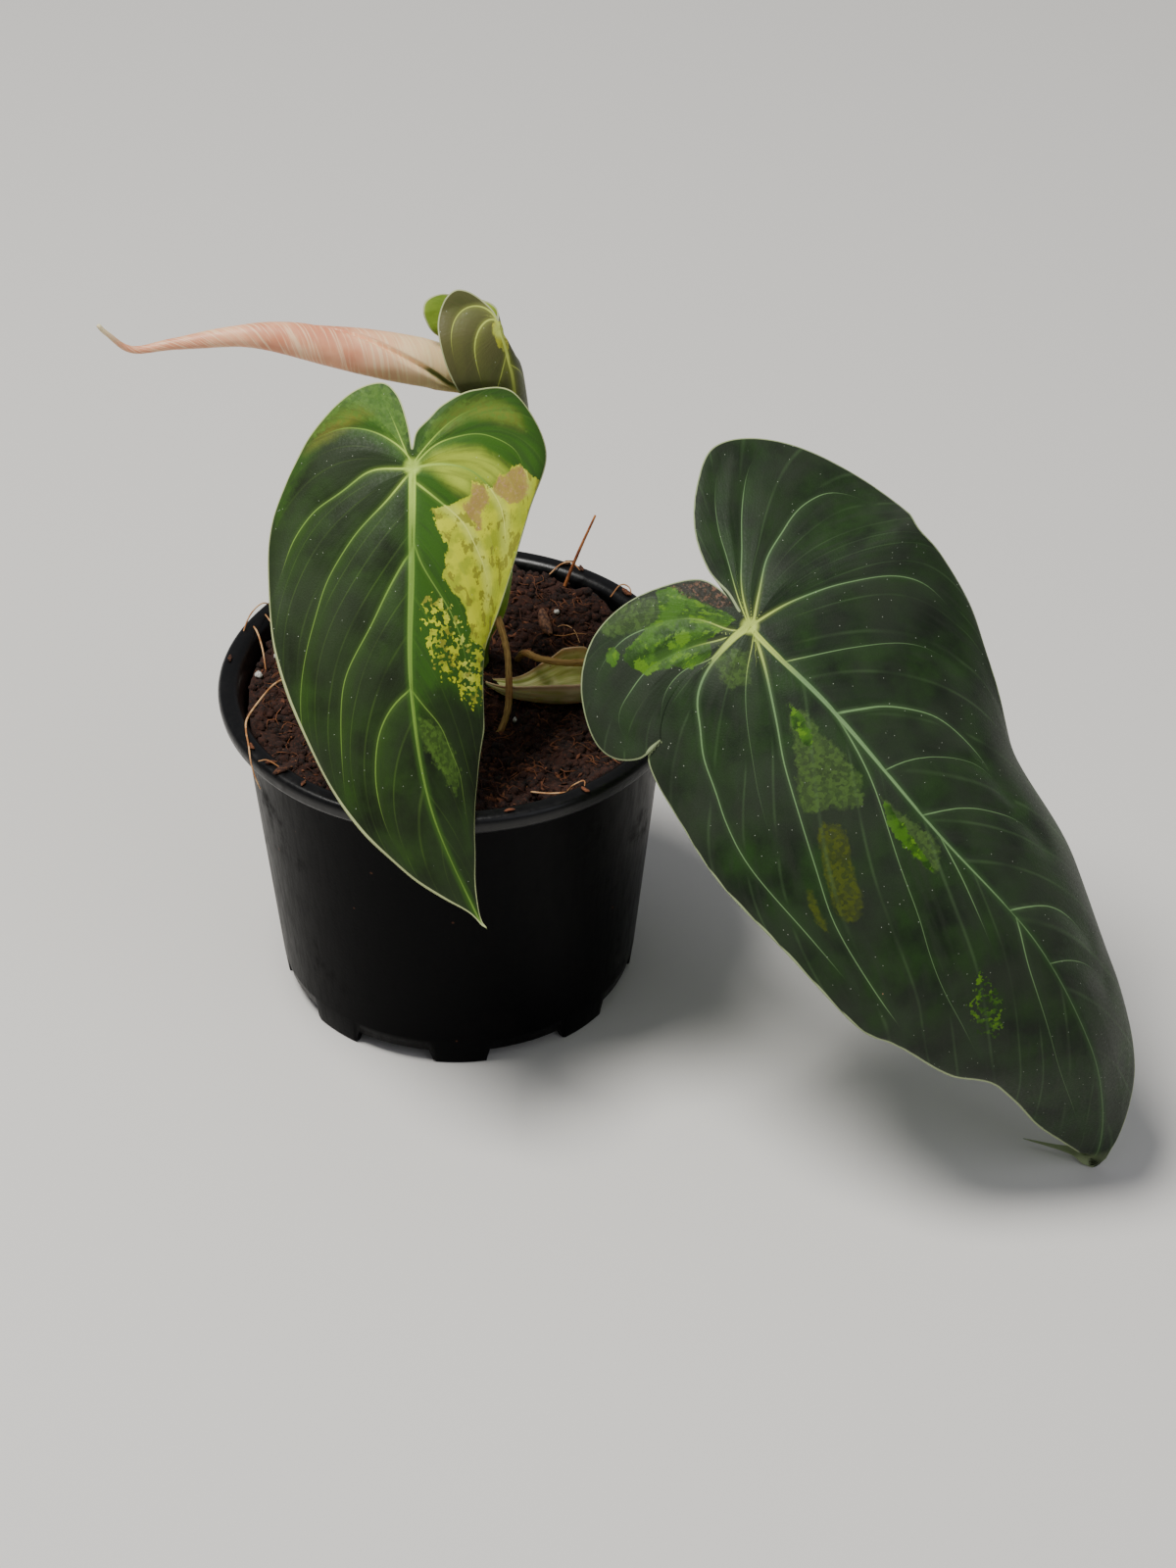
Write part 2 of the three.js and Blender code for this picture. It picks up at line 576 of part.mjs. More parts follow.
function soilBody() {
  const rings = 10;
  const sectors = 40;
  const bottom = FLOOR_LIFT + FLOOR_THICK + CLEAR;
  const innerTop = RIM_RADIUS - RIM_WIDTH - 1.2 - WALL - CLEAR;
  const innerLow = FOOT_RADIUS - WALL - 1 - CLEAR;
  const low = bottom + 3;
  const position = [0, 0, soilHeight(0, 0)];
  for (let i = 1; i <= rings; i += 1) {
    for (let k = 0; k < sectors; k += 1) {
      const angle = (k / sectors) * 2 * Math.PI;
      const radius = (innerTop - 0.6) * (i / rings);
      const x = radius * Math.cos(angle);
      const y = radius * Math.sin(angle);
      position.push(x, y, Math.min(soilHeight(x, y), POT_HEIGHT - 1));
    }
  }
  for (const [radius, z] of [[innerTop - 0.6, SOIL_LEVEL - 4], [innerLow, low], [innerLow - 3.5, bottom]]) {
    for (let k = 0; k < sectors; k += 1) {
      const angle = (k / sectors) * 2 * Math.PI;
      position.push(radius * Math.cos(angle), radius * Math.sin(angle), z);
    }
  }
  const belts = rings + 3;
  position.push(0, 0, bottom);
  const index = [];
  for (let k = 0; k < sectors; k += 1) {
    const next = (k + 1) % sectors;
    index.push(0, 1 + k, 1 + next);
    const lastBelt = 1 + (belts - 1) * sectors;
    index.push(1 + belts * sectors, lastBelt + next, lastBelt + k);
    for (let i = 0; i < belts - 1; i += 1) {
      const inner = 1 + i * sectors;
      const outer = inner + sectors;
      index.push(inner + k, outer + k, outer + next, inner + k, outer + next, inner + next);
    }
  }
  const geometry = new THREE.BufferGeometry();
  geometry.setAttribute('position', new THREE.Float32BufferAttribute(position, 3));
  geometry.setIndex(index);
  return toSolid(geometry);
}

function soilChips(count) {
  const random = seededRandom(7);
  const chips = [];
  for (let n = 0; n < count; n += 1) {
    const angle = 2 * Math.PI * random();
    const radius = 48 * Math.sqrt(random());
    const x = radius * Math.cos(angle);
    const y = radius * Math.sin(angle);
    const length = 4 + 6 * random();
    const chip = new THREE.BoxGeometry(length, 1.2 + 1.8 * random(), 1 + 1.2 * random());
    chip.rotateY(degrees(-35 + 70 * random()));
    chip.rotateZ(Math.PI * random());
    chip.translate(x, y, soilHeight(x, y) + 0.4);
    chips.push(toSolid(chip));
  }
  return chips;
}

function pottingMix() {
  const buried = [
    tube({ ...STEM, grow: CLEAR }),
    tube({ ...ROOT_HANGING, grow: CLEAR }),
    tube({ ...ROOT_LYING, grow: CLEAR }),
    tube({ ...COIR_BRISTLE, grow: CLEAR }),
    petioleTube(PETIOLE_RIGHT, CLEAR),
  ].map(toSolid);
  const filled = soilChips(40).reduce((whole, chip) => whole.add(chip), soilBody());
  const cleared = filled.subtract(toSolid(cataphyllSpace()));
  return largestPiece(buried.reduce((whole, piece) => whole.subtract(piece), cleared));
}

// The room that the dry cataphyll takes up in the mix
function cataphyllSpace() {
  const keel = CATAPHYLL.keel.map(([x, y, z]) => [x, y, z + 7]);
  return tube({ points: keel, radii: [8.6, 8.4, 8, 7.8, 7.6], sides: 14, steps: 12 });
}

function root(route) {
  const taken = [tube({ ...STEM, grow: CLEAR }), petioleTube(PETIOLE_RIGHT, CLEAR)].map(toSolid);
  return largestPiece(taken.reduce((whole, piece) => whole.subtract(piece), toSolid(tube(route))));
}

// The model

const plant = new THREE.Group();

function addPiece(name, solid, color, roughness) {
  const material = new THREE.MeshStandardMaterial({ color, roughness, metalness: 0 });
  const mesh = new THREE.Mesh(toGeometry(solid), material);
  mesh.name = name;
  plant.add(mesh);
}

addPiece('pot', potShell(), 0x0c0c0e, 0.42);
addPiece('potting_mix', pottingMix(), 0x3a2519, 0.95);
addPiece('stem', toSolid(tube(STEM)), 0x6f8a3a, 0.55);
addPiece('petiole_right', petiole(PETIOLE_RIGHT, 'right'), 0x7d9448, 0.55);
addPiece('petiole_front', petiole(PETIOLE_FRONT, 'front'), 0x7d9448, 0.55);
addPiece('petiole_small', petiole(PETIOLE_SMALL, 'small'), 0x8aa04e, 0.55);
addPiece('petiole_new', petiole(PETIOLE_NEW).subtract(toSolid(rolledLeaf(CLEAR))), 0xc9a98a, 0.5);
addPiece('blade_right', toSolid(blades.right.solid(bladeNets.right)), 0x22331f, 0.6);
addPiece('blade_front', toSolid(blades.front.solid(bladeNets.front)), 0x3c5a22, 0.55);
addPiece('blade_small', toSolid(blades.small.solid(bladeNets.small)), 0x5b6a34, 0.55);
addPiece('blade_new', toSolid(rolledLeaf()), 0xd8a78a, 0.5);
addPiece('cataphyll', cataphyll(), 0xc6cf9c, 0.6);
addPiece('aerial_root_hanging', root(ROOT_HANGING), 0x9a7a3c, 0.7);
addPiece('aerial_root_lying', root(ROOT_LYING), 0x9a7a3c, 0.7);
addPiece('coir_bristle', toSolid(tube(COIR_BRISTLE)), 0x8a4f28, 0.8);

export default plant;
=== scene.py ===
# A young variegated black gold philodendron in a 12 cm nursery pot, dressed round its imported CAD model.
# Sizes are in millimetres unless a name says otherwise. The origin is the middle of the pot's footprint.

import json
import math

import bpy
import numpy as np
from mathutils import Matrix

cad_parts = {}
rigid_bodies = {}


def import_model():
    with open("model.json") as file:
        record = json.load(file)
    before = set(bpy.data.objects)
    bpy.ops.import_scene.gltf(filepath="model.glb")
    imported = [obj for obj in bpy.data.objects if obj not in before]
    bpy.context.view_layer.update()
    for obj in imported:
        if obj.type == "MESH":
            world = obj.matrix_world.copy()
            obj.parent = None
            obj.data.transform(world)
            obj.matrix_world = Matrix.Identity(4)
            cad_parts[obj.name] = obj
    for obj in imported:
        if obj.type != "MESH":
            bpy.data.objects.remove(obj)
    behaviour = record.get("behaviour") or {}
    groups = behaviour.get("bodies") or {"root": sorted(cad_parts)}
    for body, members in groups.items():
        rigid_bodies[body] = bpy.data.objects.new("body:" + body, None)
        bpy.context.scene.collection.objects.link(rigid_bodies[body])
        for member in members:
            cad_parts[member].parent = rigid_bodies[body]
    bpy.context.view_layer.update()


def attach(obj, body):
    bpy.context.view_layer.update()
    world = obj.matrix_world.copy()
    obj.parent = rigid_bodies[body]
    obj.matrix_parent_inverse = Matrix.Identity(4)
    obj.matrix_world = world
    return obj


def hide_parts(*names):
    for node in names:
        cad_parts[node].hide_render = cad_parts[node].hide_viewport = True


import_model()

# The pot
# A 12 cm nursery pot, injection moulded in one shot of black polypropylene: a tapered wall 1.1 mm thick, a
# rim rolled outwards with a short lip, a foot ring with eight drainage notches, and a floor with eight holes.

MM = 0.001
POT_HEIGHT = 90
RIM_RADIUS = 60
RIM_WIDTH = 4.5
LIP_DROP = 4
LIP_FOOT = POT_HEIGHT - LIP_DROP
WALL_TOP = RIM_RADIUS - RIM_WIDTH - 1.2
FOOT_RADIUS = 45.5
FOOT_WIDTH = 2
WALL = 1.1
FLOOR_LIFT = 4.5
FLOOR_THICK = 1.5
FLOOR_TOP = FLOOR_LIFT + FLOOR_THICK
PAD_RADIUS = 9
NOTCHES = 8
NOTCH_PITCH = 360 / NOTCHES
NOTCH_TURN = 24
NOTCH_WIDTH = 21
NOTCH_HEIGHT = 4
NOTCH_EASE = 0.8
DRAIN_RADIUS = 3.5
DRAIN_CIRCLE = 33
DRAIN_SIDES = 24
POT_COLUMNS = 288
RIM_EDGE = POT_HEIGHT - 0.2

# The corners of the pot's outline as radius, height and rounding, from the middle of the floor's underside
# out to the foot, up the wall, over the rim, and down the inside to the middle of the floor.
POT_CORNERS = [
    (0.01, 0, 0), (PAD_RADIUS, 0, 0.5), (PAD_RADIUS + 1.5, FLOOR_LIFT, 0.8),
    (FOOT_RADIUS - FOOT_WIDTH - 3, FLOOR_LIFT, 1), (FOOT_RADIUS - FOOT_WIDTH, 0, 0.4),
    (FOOT_RADIUS - 0.2, 0, 0.5), (FOOT_RADIUS + 0.9, 8, 0.1),
    (WALL_TOP, LIP_FOOT - 1.5, 1.4), (RIM_RADIUS - 1.2, LIP_FOOT - 1, 0.3), (RIM_RADIUS - 0.4, LIP_FOOT, 0.5),
    (RIM_RADIUS, POT_HEIGHT - 1.6, 0.6), (RIM_RADIUS - 0.7, RIM_EDGE, 1), (RIM_RADIUS - 2, POT_HEIGHT, 0.8),
    (RIM_RADIUS - RIM_WIDTH + 0.3, POT_HEIGHT, 1), (RIM_RADIUS - RIM_WIDTH - 1, POT_HEIGHT - 1.4, 0.8),
    (WALL_TOP - WALL, LIP_FOOT - 3, 1.5), (FOOT_RADIUS - WALL - 0.6, FLOOR_TOP + 2, 1),
    (FOOT_RADIUS - WALL - 3, FLOOR_TOP, 1), (0.01, FLOOR_TOP, 0),
]


def tone(code):
    """A colour written as on a paint card, such as 0x2f4a1c, as the shader wants it."""
    parts = [(code >> shift & 255) / 255 for shift in (16, 8, 0)]
    return [p / 12.92 if p < 0.04045 else ((p + 0.055) / 1.055) ** 2.4 for p in parts] + [1]


def feed(tree, socket, value):
    """Gives a node's input a fixed value, or links it to another node's output."""
    if isinstance(value, bpy.types.NodeSocket):
        tree.links.new(value, socket)
    else:
        socket.default_value = value


def add_node(tree, kind, inputs, settings):
    node = tree.nodes.new(kind)
    for key, value in settings.items():
        setattr(node, key, value)
    for socket, value in inputs.items():
        feed(tree, node.inputs[socket], value)
    return node.outputs


class Finish:
    """A material being put together. Most calls add a node and give back its output."""

    def __init__(self, name, **even):
        self.material = bpy.data.materials.new(name)
        self.material.use_nodes = True
        self.tree = self.material.node_tree
        self.shader = self.tree.nodes["Principled BSDF"]
        for socket, value in even.items():
            self.wear(socket.replace("_", " "), value)

    def wear(self, socket, value):
        feed(self.tree, self.shader.inputs[socket], value)

    def put(self, kind, inputs, output=0, **settings):
        return add_node(self.tree, "ShaderNode" + kind, inputs, settings)[output]

    def math(self, operation, *values):
        return self.put("Math", dict(enumerate(values)), operation=operation)

    def times(self, first, second):
        return self.math("MULTIPLY", first, second)

    def plus(self, first, second):
        return self.math("ADD", first, second)

    def minus(self, first, second):
        return self.math("SUBTRACT", first, second)

    def mix(self, share, first, second):
        return self.put("Mix", {0: share, 6: first, 7: second}, 2, data_type="RGBA")

    def paint(self, colour, share=None):
        """Lays a paint-card colour or a node's colour over what is there already, in that share."""
        if isinstance(colour, int):
            colour = tone(colour)
        self.colour = colour if share is None else self.mix(share, self.colour, colour)
        self.wear("Base Color", self.colour)

    def step(self, value, low, high, bottom=0, top=1):
        """Goes smoothly from bottom to top while the value goes from low to high."""
        spans = {"Value": value, "From Min": low, "From Max": high, "To Min": bottom, "To Max": top}
        return self.put("MapRange", spans, interpolation_type="SMOOTHSTEP")

    def place(self, stretch=(1, 1, 1), turn=(0, 0, 0)):
        """Object coordinates in millimetres, for a pattern that is stretched along the axes."""
        spot = self.put("TexCoord", {}, "Object")
        scale = [1 / (MM * s) for s in stretch]
        return self.put("Mapping", {"Vector": spot, "Scale": scale, "Rotation": turn})

    def flat(self, stretch=(1, 1, 1), shift=(0, 0, 0)):
        """Coordinates along and across the piece, in millimetres, from its UV map."""
        spot = self.put("UVMap", {}, uv_map="flat")
        scale = [1 / s for s in stretch]
        return self.put("Mapping", {"Vector": spot, "Scale": scale, "Location": shift})

    def noise(self, size, where, detail=3, rough=0.55):
        facts = {"Vector": where, "Scale": 1 / size, "Detail": detail, "Roughness": rough}
        return self.put("TexNoise", facts)

    def specks(self, size, where, radius, share, soft=0.3):
        """Round dots of a radius in millimetres, in that share of cells of that size."""
        cell = {"Vector": where, "Scale": 1 / size, "Randomness": 1}
        near = self.put("TexVoronoi", cell)
        pick = self.put("SeparateColor", {0: self.put("TexVoronoi", cell, "Color")})
        dot = self.step(near, radius / size, radius / size * (1 - soft))
        return self.times(dot, self.math("LESS_THAN", pick, share))

    def field(self, name):
        """A value that the mesh carries under that name."""
        return self.put("Attribute", {}, "Fac", attribute_name=name)

    def bump(self, height, depth):
        """Relief: a height from 0 to 1 stands for that many millimetres."""
        self.wear("Normal", self.put("Bump", {"Height": height, "Distance": depth * MM, "Strength": 1}))


def build(name, points, faces, finish, flat=None, **fields):
    """A mesh from points in millimetres, with its UV map and one named value a point for each field."""
    mesh = bpy.data.meshes.new(name)
    places = (np.asarray(points, float) * MM).tolist()
    mesh.from_pydata(places, [], [list(map(int, face)) for face in faces])
    mesh.materials.append(finish.material)
    mesh.shade_smooth()
    for field, values in fields.items():
        column = mesh.attributes.new(field, "FLOAT", "POINT")
        column.data.foreach_set("value", np.asarray(values, np.float32).ravel())
    if flat is not None:
        corners = np.empty(len(mesh.loops), np.int32)
        mesh.loops.foreach_get("vertex_index", corners)
        layer = mesh.uv_layers.new(name="flat")
        layer.data.foreach_set("uv", np.asarray(flat, np.float32)[corners].ravel())
    return placed(name, mesh)


def placed(name, mesh):
    piece = bpy.data.objects.new(name, mesh)
    bpy.context.scene.collection.objects.link(piece)
    return piece


def belt(rows, columns):
    """Faces between rows of points that run right round, with fans to the two points that end the list."""
    faces = []
    last = (rows - 1) * columns
    ends = rows * columns
    for k in range(columns):
        n = (k + 1) % columns
        for low in range(0, last, columns):
            high = low + columns
            faces.append((low + k, low + n, high + n, high + k))
        faces += [(ends, n, k), (ends + 1, last + k, last + n)]
    return faces


def rounded(corners, arc=4):
    """A profile of (radius, height, rounding) corners, each eased into an arc of that many points."""
    spots = np.array([corner[:2] for corner in corners], float)
    profile = [spots[0]]
    for i in range(1, len(corners) - 1):
        ease = corners[i][2]
        back = spots[i - 1] - spots[i]
        ahead = spots[i + 1] - spots[i]
        start = spots[i] + back * min(ease / np.linalg.norm(back), 0.5)
        end = spots[i] + ahead * min(ease / np.linalg.norm(ahead), 0.5)
        for t in np.linspace(0, 1, arc):
            profile.append((1 - t) ** 2 * start + 2 * t * (1 - t) * spots[i] + t * t * end)
    return np.array(profile + [spots[-1]])


def adopt(piece, slot, *nodes):
    """Lets a piece ride on the part's one body, in the place of CAD nodes if any are given."""
    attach(piece, "root")
    if nodes:
        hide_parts(*nodes)


# The wall is matt, with dust, crumbs and pale flecks on it, and only its rim and lip catch the light.
black = Finish("black_polypropylene")
spot = black.place()
dust = black.step(black.noise(16, spot, 5, 0.7), 0.52, 0.75)
crumb = black.specks(5, spot, 0.5, 0.1)
fleck = black.specks(9, black.place(turn=(0.4, 0.2, 0.9)), 0.28, 0.16)
scratch = black.noise(1.2, black.place(stretch=(1, 1, 14)), 4, 0.7)
height = black.put("SeparateXYZ", {0: spot}, "Z")
black.paint(0x050506)
black.paint(0x1b1918, black.times(dust, 0.2))
black.paint(0x4a3022, black.times(crumb, 0.8))
black.paint(0xb9b6ae, black.times(fleck, 0.55))
black.wear("Roughness", black.plus(black.step(scratch, 0.35, 0.7, 0.3, 0.42), black.times(dust, 0.25)))
black.wear("Specular IOR Level", black.step(height, POT_HEIGHT - 7, POT_HEIGHT - 3, 0.03, 0.3))
black.bump(black.noise(0.9, spot, 4, 0.6), 0.03)


def pot_shell():
    """The outline turned round the pot's axis, with the foot ring lifted at the notches."""
    profile = rounded(POT_CORNERS)
    turns = np.arange(POT_COLUMNS) / POT_COLUMNS * 2 * np.pi
    off = np.degrees(turns) - NOTCH_TURN + NOTCH_PITCH / 2
    off = np.abs(off % NOTCH_PITCH - NOTCH_PITCH / 2)
    half = math.degrees(NOTCH_WIDTH / 2 / FOOT_RADIUS)
    notch = np.clip((half - off) / NOTCH_EASE + 0.5, 0, 1)
    radius = np.repeat(profile[:, :1], POT_COLUMNS, 1)
    height = np.repeat(profile[:, 1:], POT_COLUMNS, 1)
    foot = (radius > FOOT_RADIUS - 6) & (height < NOTCH_HEIGHT)
    height = np.where(foot, height + (NOTCH_HEIGHT - height) * notch, height)
    points = np.stack([radius * np.cos(turns), radius * np.sin(turns), height], -1).reshape(-1, 3)
    ends = [(0, 0, profile[0][1]), (0, 0, profile[-1][1])]
    return build("nursery_pot", np.vstack([points, ends]), belt(len(profile), POT_COLUMNS), black)


def drain_drills():
    """Upright cylinders where the floor has its holes."""
    points, faces = [], []
    around = [k / DRAIN_SIDES * 2 * math.pi for k in range(DRAIN_SIDES)]
    for i in range(NOTCHES):
        turn = math.radians(NOTCH_TURN + NOTCH_PITCH * i)
        x, y = DRAIN_CIRCLE * math.cos(turn), DRAIN_CIRCLE * math.sin(turn)
        low = len(points)
        high = low + DRAIN_SIDES
        for z in (FLOOR_LIFT - 2, FLOOR_TOP + 2.5):
            points += [(x + DRAIN_RADIUS * math.cos(a), y + DRAIN_RADIUS * math.sin(a), z) for a in around]
        for k in range(DRAIN_SIDES):
            n = (k + 1) % DRAIN_SIDES
            faces.append((low + k, low + n, high + n, high + k))
        faces += [range(high - 1, low - 1, -1), range(high, high + DRAIN_SIDES)]
    return build("drain_drill", points, faces, black)


def pot():
    shell, drills = pot_shell(), drain_drills()
    cut = shell.modifiers.new("drains", "BOOLEAN")
    cut.object = drills
    cut.operation = "DIFFERENCE"
    done = bpy.data.meshes.new_from_object(shell.evaluated_get(bpy.context.evaluated_depsgraph_get()))
    shell.modifiers.remove(cut)
    shell.data = done
    bpy.data.objects.remove(drills)
    return shell


adopt(pot(), "pot", "pot")

# The potting mix
# Peat and coir pressed loosely into the pot: one closed body with a lumpy, crumbly top that rises towards
# the back and has a hollow in front of the stem. It stands clear of the pot's wall and floor by a hair.

SOIL_LEVEL = 84
SOIL_RINGS = 110
SOIL_SECTORS = 300
SOIL_BOTTOM = FLOOR_TOP + 0.3
SOIL_TOP_RADIUS = WALL_TOP - WALL - 0.9
SOIL_LOW_RADIUS = FOOT_RADIUS - WALL - 1.3
BANK_HEIGHT = 5
BANK_START = 10
BANK_RUN = 36
HOLLOW_DEPTH = 2.5
HOLLOW_X, HOLLOW_Y = 12, -12
LATTICE = 256


def eased(share):
    return share * share * (3 - 2 * share)


def worn(x, y, size, seed):
    """Smooth random heights from -1 to 1 on a lattice of cells of that size."""
    lattice = np.random.default_rng(seed).uniform(-1, 1, (LATTICE, LATTICE))
    px, py = x / size + LATTICE / 4, y / size + LATTICE / 4
    i, j = np.floor(px).astype(int), np.floor(py).astype(int)
    fx, fy = eased(px - i), eased(py - j)

    def level(row):
        return lattice[i % LATTICE, row % LATTICE] * (1 - fx) + lattice[(i + 1) % LATTICE, row % LATTICE] * fx

    return level(j) * (1 - fy) + level(j + 1) * fy


def soil_height(x, y):
    lumps = 1.1 * np.sin(x / 7 + 1) * np.cos(y / 8 - 0.5) + 0.7 * np.sin(x / 3.4 - y / 4.1)
    lumps = lumps + 0.5 * np.cos(x / 2.3 + y / 2.9 + 2)
    hollow = HOLLOW_DEPTH * np.exp(-((x - HOLLOW_X) ** 2 + (y - HOLLOW_Y) ** 2) / 160)
    return SOIL_LEVEL + lumps - hollow + BANK_HEIGHT * eased(np.clip((y - BANK_START) / BANK_RUN, 0, 1))


peat = Finish("peat_and_coir", Roughness=0.95)
spot = peat.place()
grain = peat.noise(0.7, spot, 4, 0.75)
peat.paint(0x160a06)
peat.paint(0x361a0f, peat.step(peat.noise(5, spot, 5, 0.7), 0.38, 0.62))
peat.paint(0x572e1c, peat.step(grain, 0.5, 0.72))
peat.paint(0x80502f, peat.specks(1.7, spot, 0.3, 0.1))
peat.bump(grain, 0.5)


def potting_mix():
    turns = np.arange(SOIL_SECTORS) / SOIL_SECTORS * 2 * np.pi
    radius = SOIL_TOP_RADIUS * ((np.arange(SOIL_RINGS) + 0.5) / (SOIL_RINGS - 0.5))[:, None]
    x, y = radius * np.cos(turns), radius * np.sin(turns)
    z = soil_height(x, y) + 0.55 * worn(x, y, 2.6, 1) + 0.45 * worn(x, y, 1.1, 2)
    z = z + 1.1 * np.clip(worn(x, y, 3.8, 3), 0.2, 1) - 0.3
    top = np.stack([x, y, np.minimum(z, POT_HEIGHT + 2)], -1)[::-1]
    skirt = [(SOIL_LOW_RADIUS - 3.5, SOIL_BOTTOM), (SOIL_LOW_RADIUS, SOIL_BOTTOM + 3),
             (SOIL_TOP_RADIUS, SOIL_LEVEL - 4)]
    sides = [np.stack([r * np.cos(turns), r * np.sin(turns), np.full(SOIL_SECTORS, h)], -1) for r, h in skirt]
    ends = [(0, 0, SOIL_BOTTOM), (0, 0, float(soil_height(0, 0)))]
    points = np.vstack([*sides, top.reshape(-1, 3), ends])
    return build("potting_mix_fill", points, belt(SOIL_RINGS + len(skirt), SOIL_SECTORS), peat)


fill = potting_mix()
adopt(fill, "potting_mix", "potting_mix")

# The stem
# A creeping, jointed stem: green and smooth, with a pale raised scar round each node and fine lengthwise
# streaks. It lies half sunk in the mix, then turns up behind the front leaf.

STEM_POINTS = [
    [44, 18, 77], [37, 14, 83], [25, 13, 79.5], [13, 15, 76.5], [5.5, 16, 82], [5.5, 13.5, 94],
    [9.5, 11, 106], [11, 15, 124], [10.5, 19.5, 141], [9, 20, 153],
]
STEM_RADII = [3.6, 5.2, 4, 3.8, 3.8, 4.2, 4.6, 3.2, 4, 2.8]
STEM_NODES = [0.13, 0.56, 0.86]
STEM_SIDES = 40
STEM_STEPS = 260


def unit(v):
    return v / np.linalg.norm(v, axis=-1, keepdims=True)


def padded(rows):
    """Rows with one more at each end, in line with the last two."""
    return np.vstack([2 * rows[0] - rows[1], rows, 2 * rows[-1] - rows[-2]])


def spline(rows, i, t):
    """The place on a smooth curve through padded rows that is a share t of the way on from row i."""
    t = t[..., None]
    a, b, c, d = rows[i - 1], rows[i], rows[i + 1], rows[i + 2]
    bend = (2 * a - 5 * b + 4 * c - d) * t * t + (3 * b - a - 3 * c + d) * t ** 3
    return 0.5 * (2 * b + (c - a) * t + bend)


def along(points, count):
    """A smooth curve through points, cut into count equal steps: places, directions and its length."""
    spots = padded(np.array(points, float))
    shares = np.linspace(0, 1, 40, endpoint=False)
    fine = np.vstack([*(spline(spots, i, shares) for i in range(1, len(spots) - 2)), spots[-2]])
    length = np.r_[0, np.cumsum(np.linalg.norm(np.diff(fine, axis=0), axis=1))]
    mark = np.linspace(0, length[-1], count + 1)
    at = np.stack([np.interp(mark, length, column) for column in fine.T], 1)
    return at, unit(np.gradient(at, axis=0)), length[-1]


def tube(points, radii, sides, steps, swell=lambda t, angle: 1, turn=lambda t: 0, blunt=0.5):
    """A closed round tube: places, faces and flat coordinates. swell scales its radius a share t of the way
    along at each angle, turn spins it there, and blunt says how far its rounded ends reach."""
    at, ahead, length = along(points, steps)
    normal = np.cross(ahead[0], (0.3, 0.2, 1))
    share = np.arange(steps + 1) / steps
    radius = np.interp(share, np.linspace(0, 1, len(radii)), radii)
    angle = np.arange(sides) / sides * 2 * np.pi
    rows, flat = [], []
    for i, t in enumerate(share):
        normal = unit(normal - ahead[i] * normal.dot(ahead[i]))
        other = np.cross(ahead[i], normal)
        spin = angle + turn(t)
        reach = radius[i] * swell(t, angle)
        rows.append(at[i] + np.outer(np.cos(spin) * reach, normal) + np.outer(np.sin(spin) * reach, other))
        flat.append(np.stack([np.full(sides, t * length), angle * radius.max()], 1))
    ends = [at[0] - ahead[0] * radius[0] * blunt, at[-1] + ahead[-1] * radius[-1] * blunt]
    return np.vstack([*rows, ends]), belt(steps + 1, sides), np.vstack([*flat, [[0, 0], [length, 0]]])


stalk = Finish("green_stem", Roughness=0.42, Specular_IOR_Level=0.45)
spot = stalk.place()
streak = stalk.noise(1.4, stalk.flat(stretch=(14, 1, 1)), 4, 0.6)
stalk.paint(0x5e7f27)
stalk.paint(0x86a53c, stalk.step(stalk.noise(7, spot, 3), 0.35, 0.65))
stalk.paint(0xb0c465, stalk.step(streak, 0.5, 0.75, 0, 0.7))
stalk.paint(0x8d7a4b, stalk.specks(2.6, spot, 0.3, 0.3))
stalk.paint(0xa98f5c, stalk.step(stalk.field("scar"), 0.3, 0.9, 0, 0.75))
stalk.bump(streak, 0.08)


def node_rings(t, width):
    """How far a place along the stem lies on a node's ring, from 0 to 1."""
    return sum(np.exp(-((t - node) / width) ** 2) for node in STEM_NODES)


def stem():
    def swell(t, angle):
        return 0.985 + 0.035 * node_rings(t, 0.006) - 0.012 * np.cos(5 * angle)

    points, faces, flat = tube(STEM_POINTS, STEM_RADII, STEM_SIDES, STEM_STEPS, swell)
    scar = node_rings(np.repeat(np.linspace(0, 1, STEM_STEPS + 1), STEM_SIDES), 0.007)
    return build("creeping_stem", points, faces, stalk, flat, scar=np.r_[scar, 0, 0])


adopt(stem(), "stem", "stem")

# The aerial roots
# Two roots from the node over the mix: tough, ochre to brown and finely wrinkled lengthwise. One hangs in
# front of the stem with its tip on the mix, and the other lies over the cataphyll into the mix.

ROOTS = {
    "aerial_root_hanging": (
        [[11, 8.5, 103], [13.3, 3, 97.5], [14, -2.6, 92.4], [13.9, -7.8, 86.8], [12.4, -11.6, 83],
         [10.3, -14, 80.6]],
        [1.1, 0.85, 0.85, 0.95, 0.85, 0.8]),
    "aerial_root_lying": (
        [[40, 8.5, 91.6], [36, 3.2, 92.8], [31, 1.6, 93.4], [27, 1.5, 93.6], [21.5, 3, 93.8],
         [17.8, 9.5, 90.8], [15.5, 15, 84]],
        [1.2, 1, 0.9, 0.9, 0.9, 0.9, 0.8]),
}
ROOT_KNOTS = 60

bark = Finish("root_skin", Roughness=0.75)
wrinkle = bark.noise(0.5, bark.flat(stretch=(9, 1, 1)), 4, 0.65)
bark.paint(0x7c5a2a)
bark.paint(0xb28f4e, bark.step(wrinkle, 0.35, 0.65))
bark.paint(0x8e4e2c, bark.step(bark.noise(6, bark.place(), 3), 0.5, 0.7, 0, 0.6))
bark.bump(wrinkle, 0.18)


def shoot(name, finish, *shape):
    """A closed round piece of the plant, shaped as tube says."""
    points, faces, flat = tube(*shape)
    return build(name, points, faces, finish, flat)


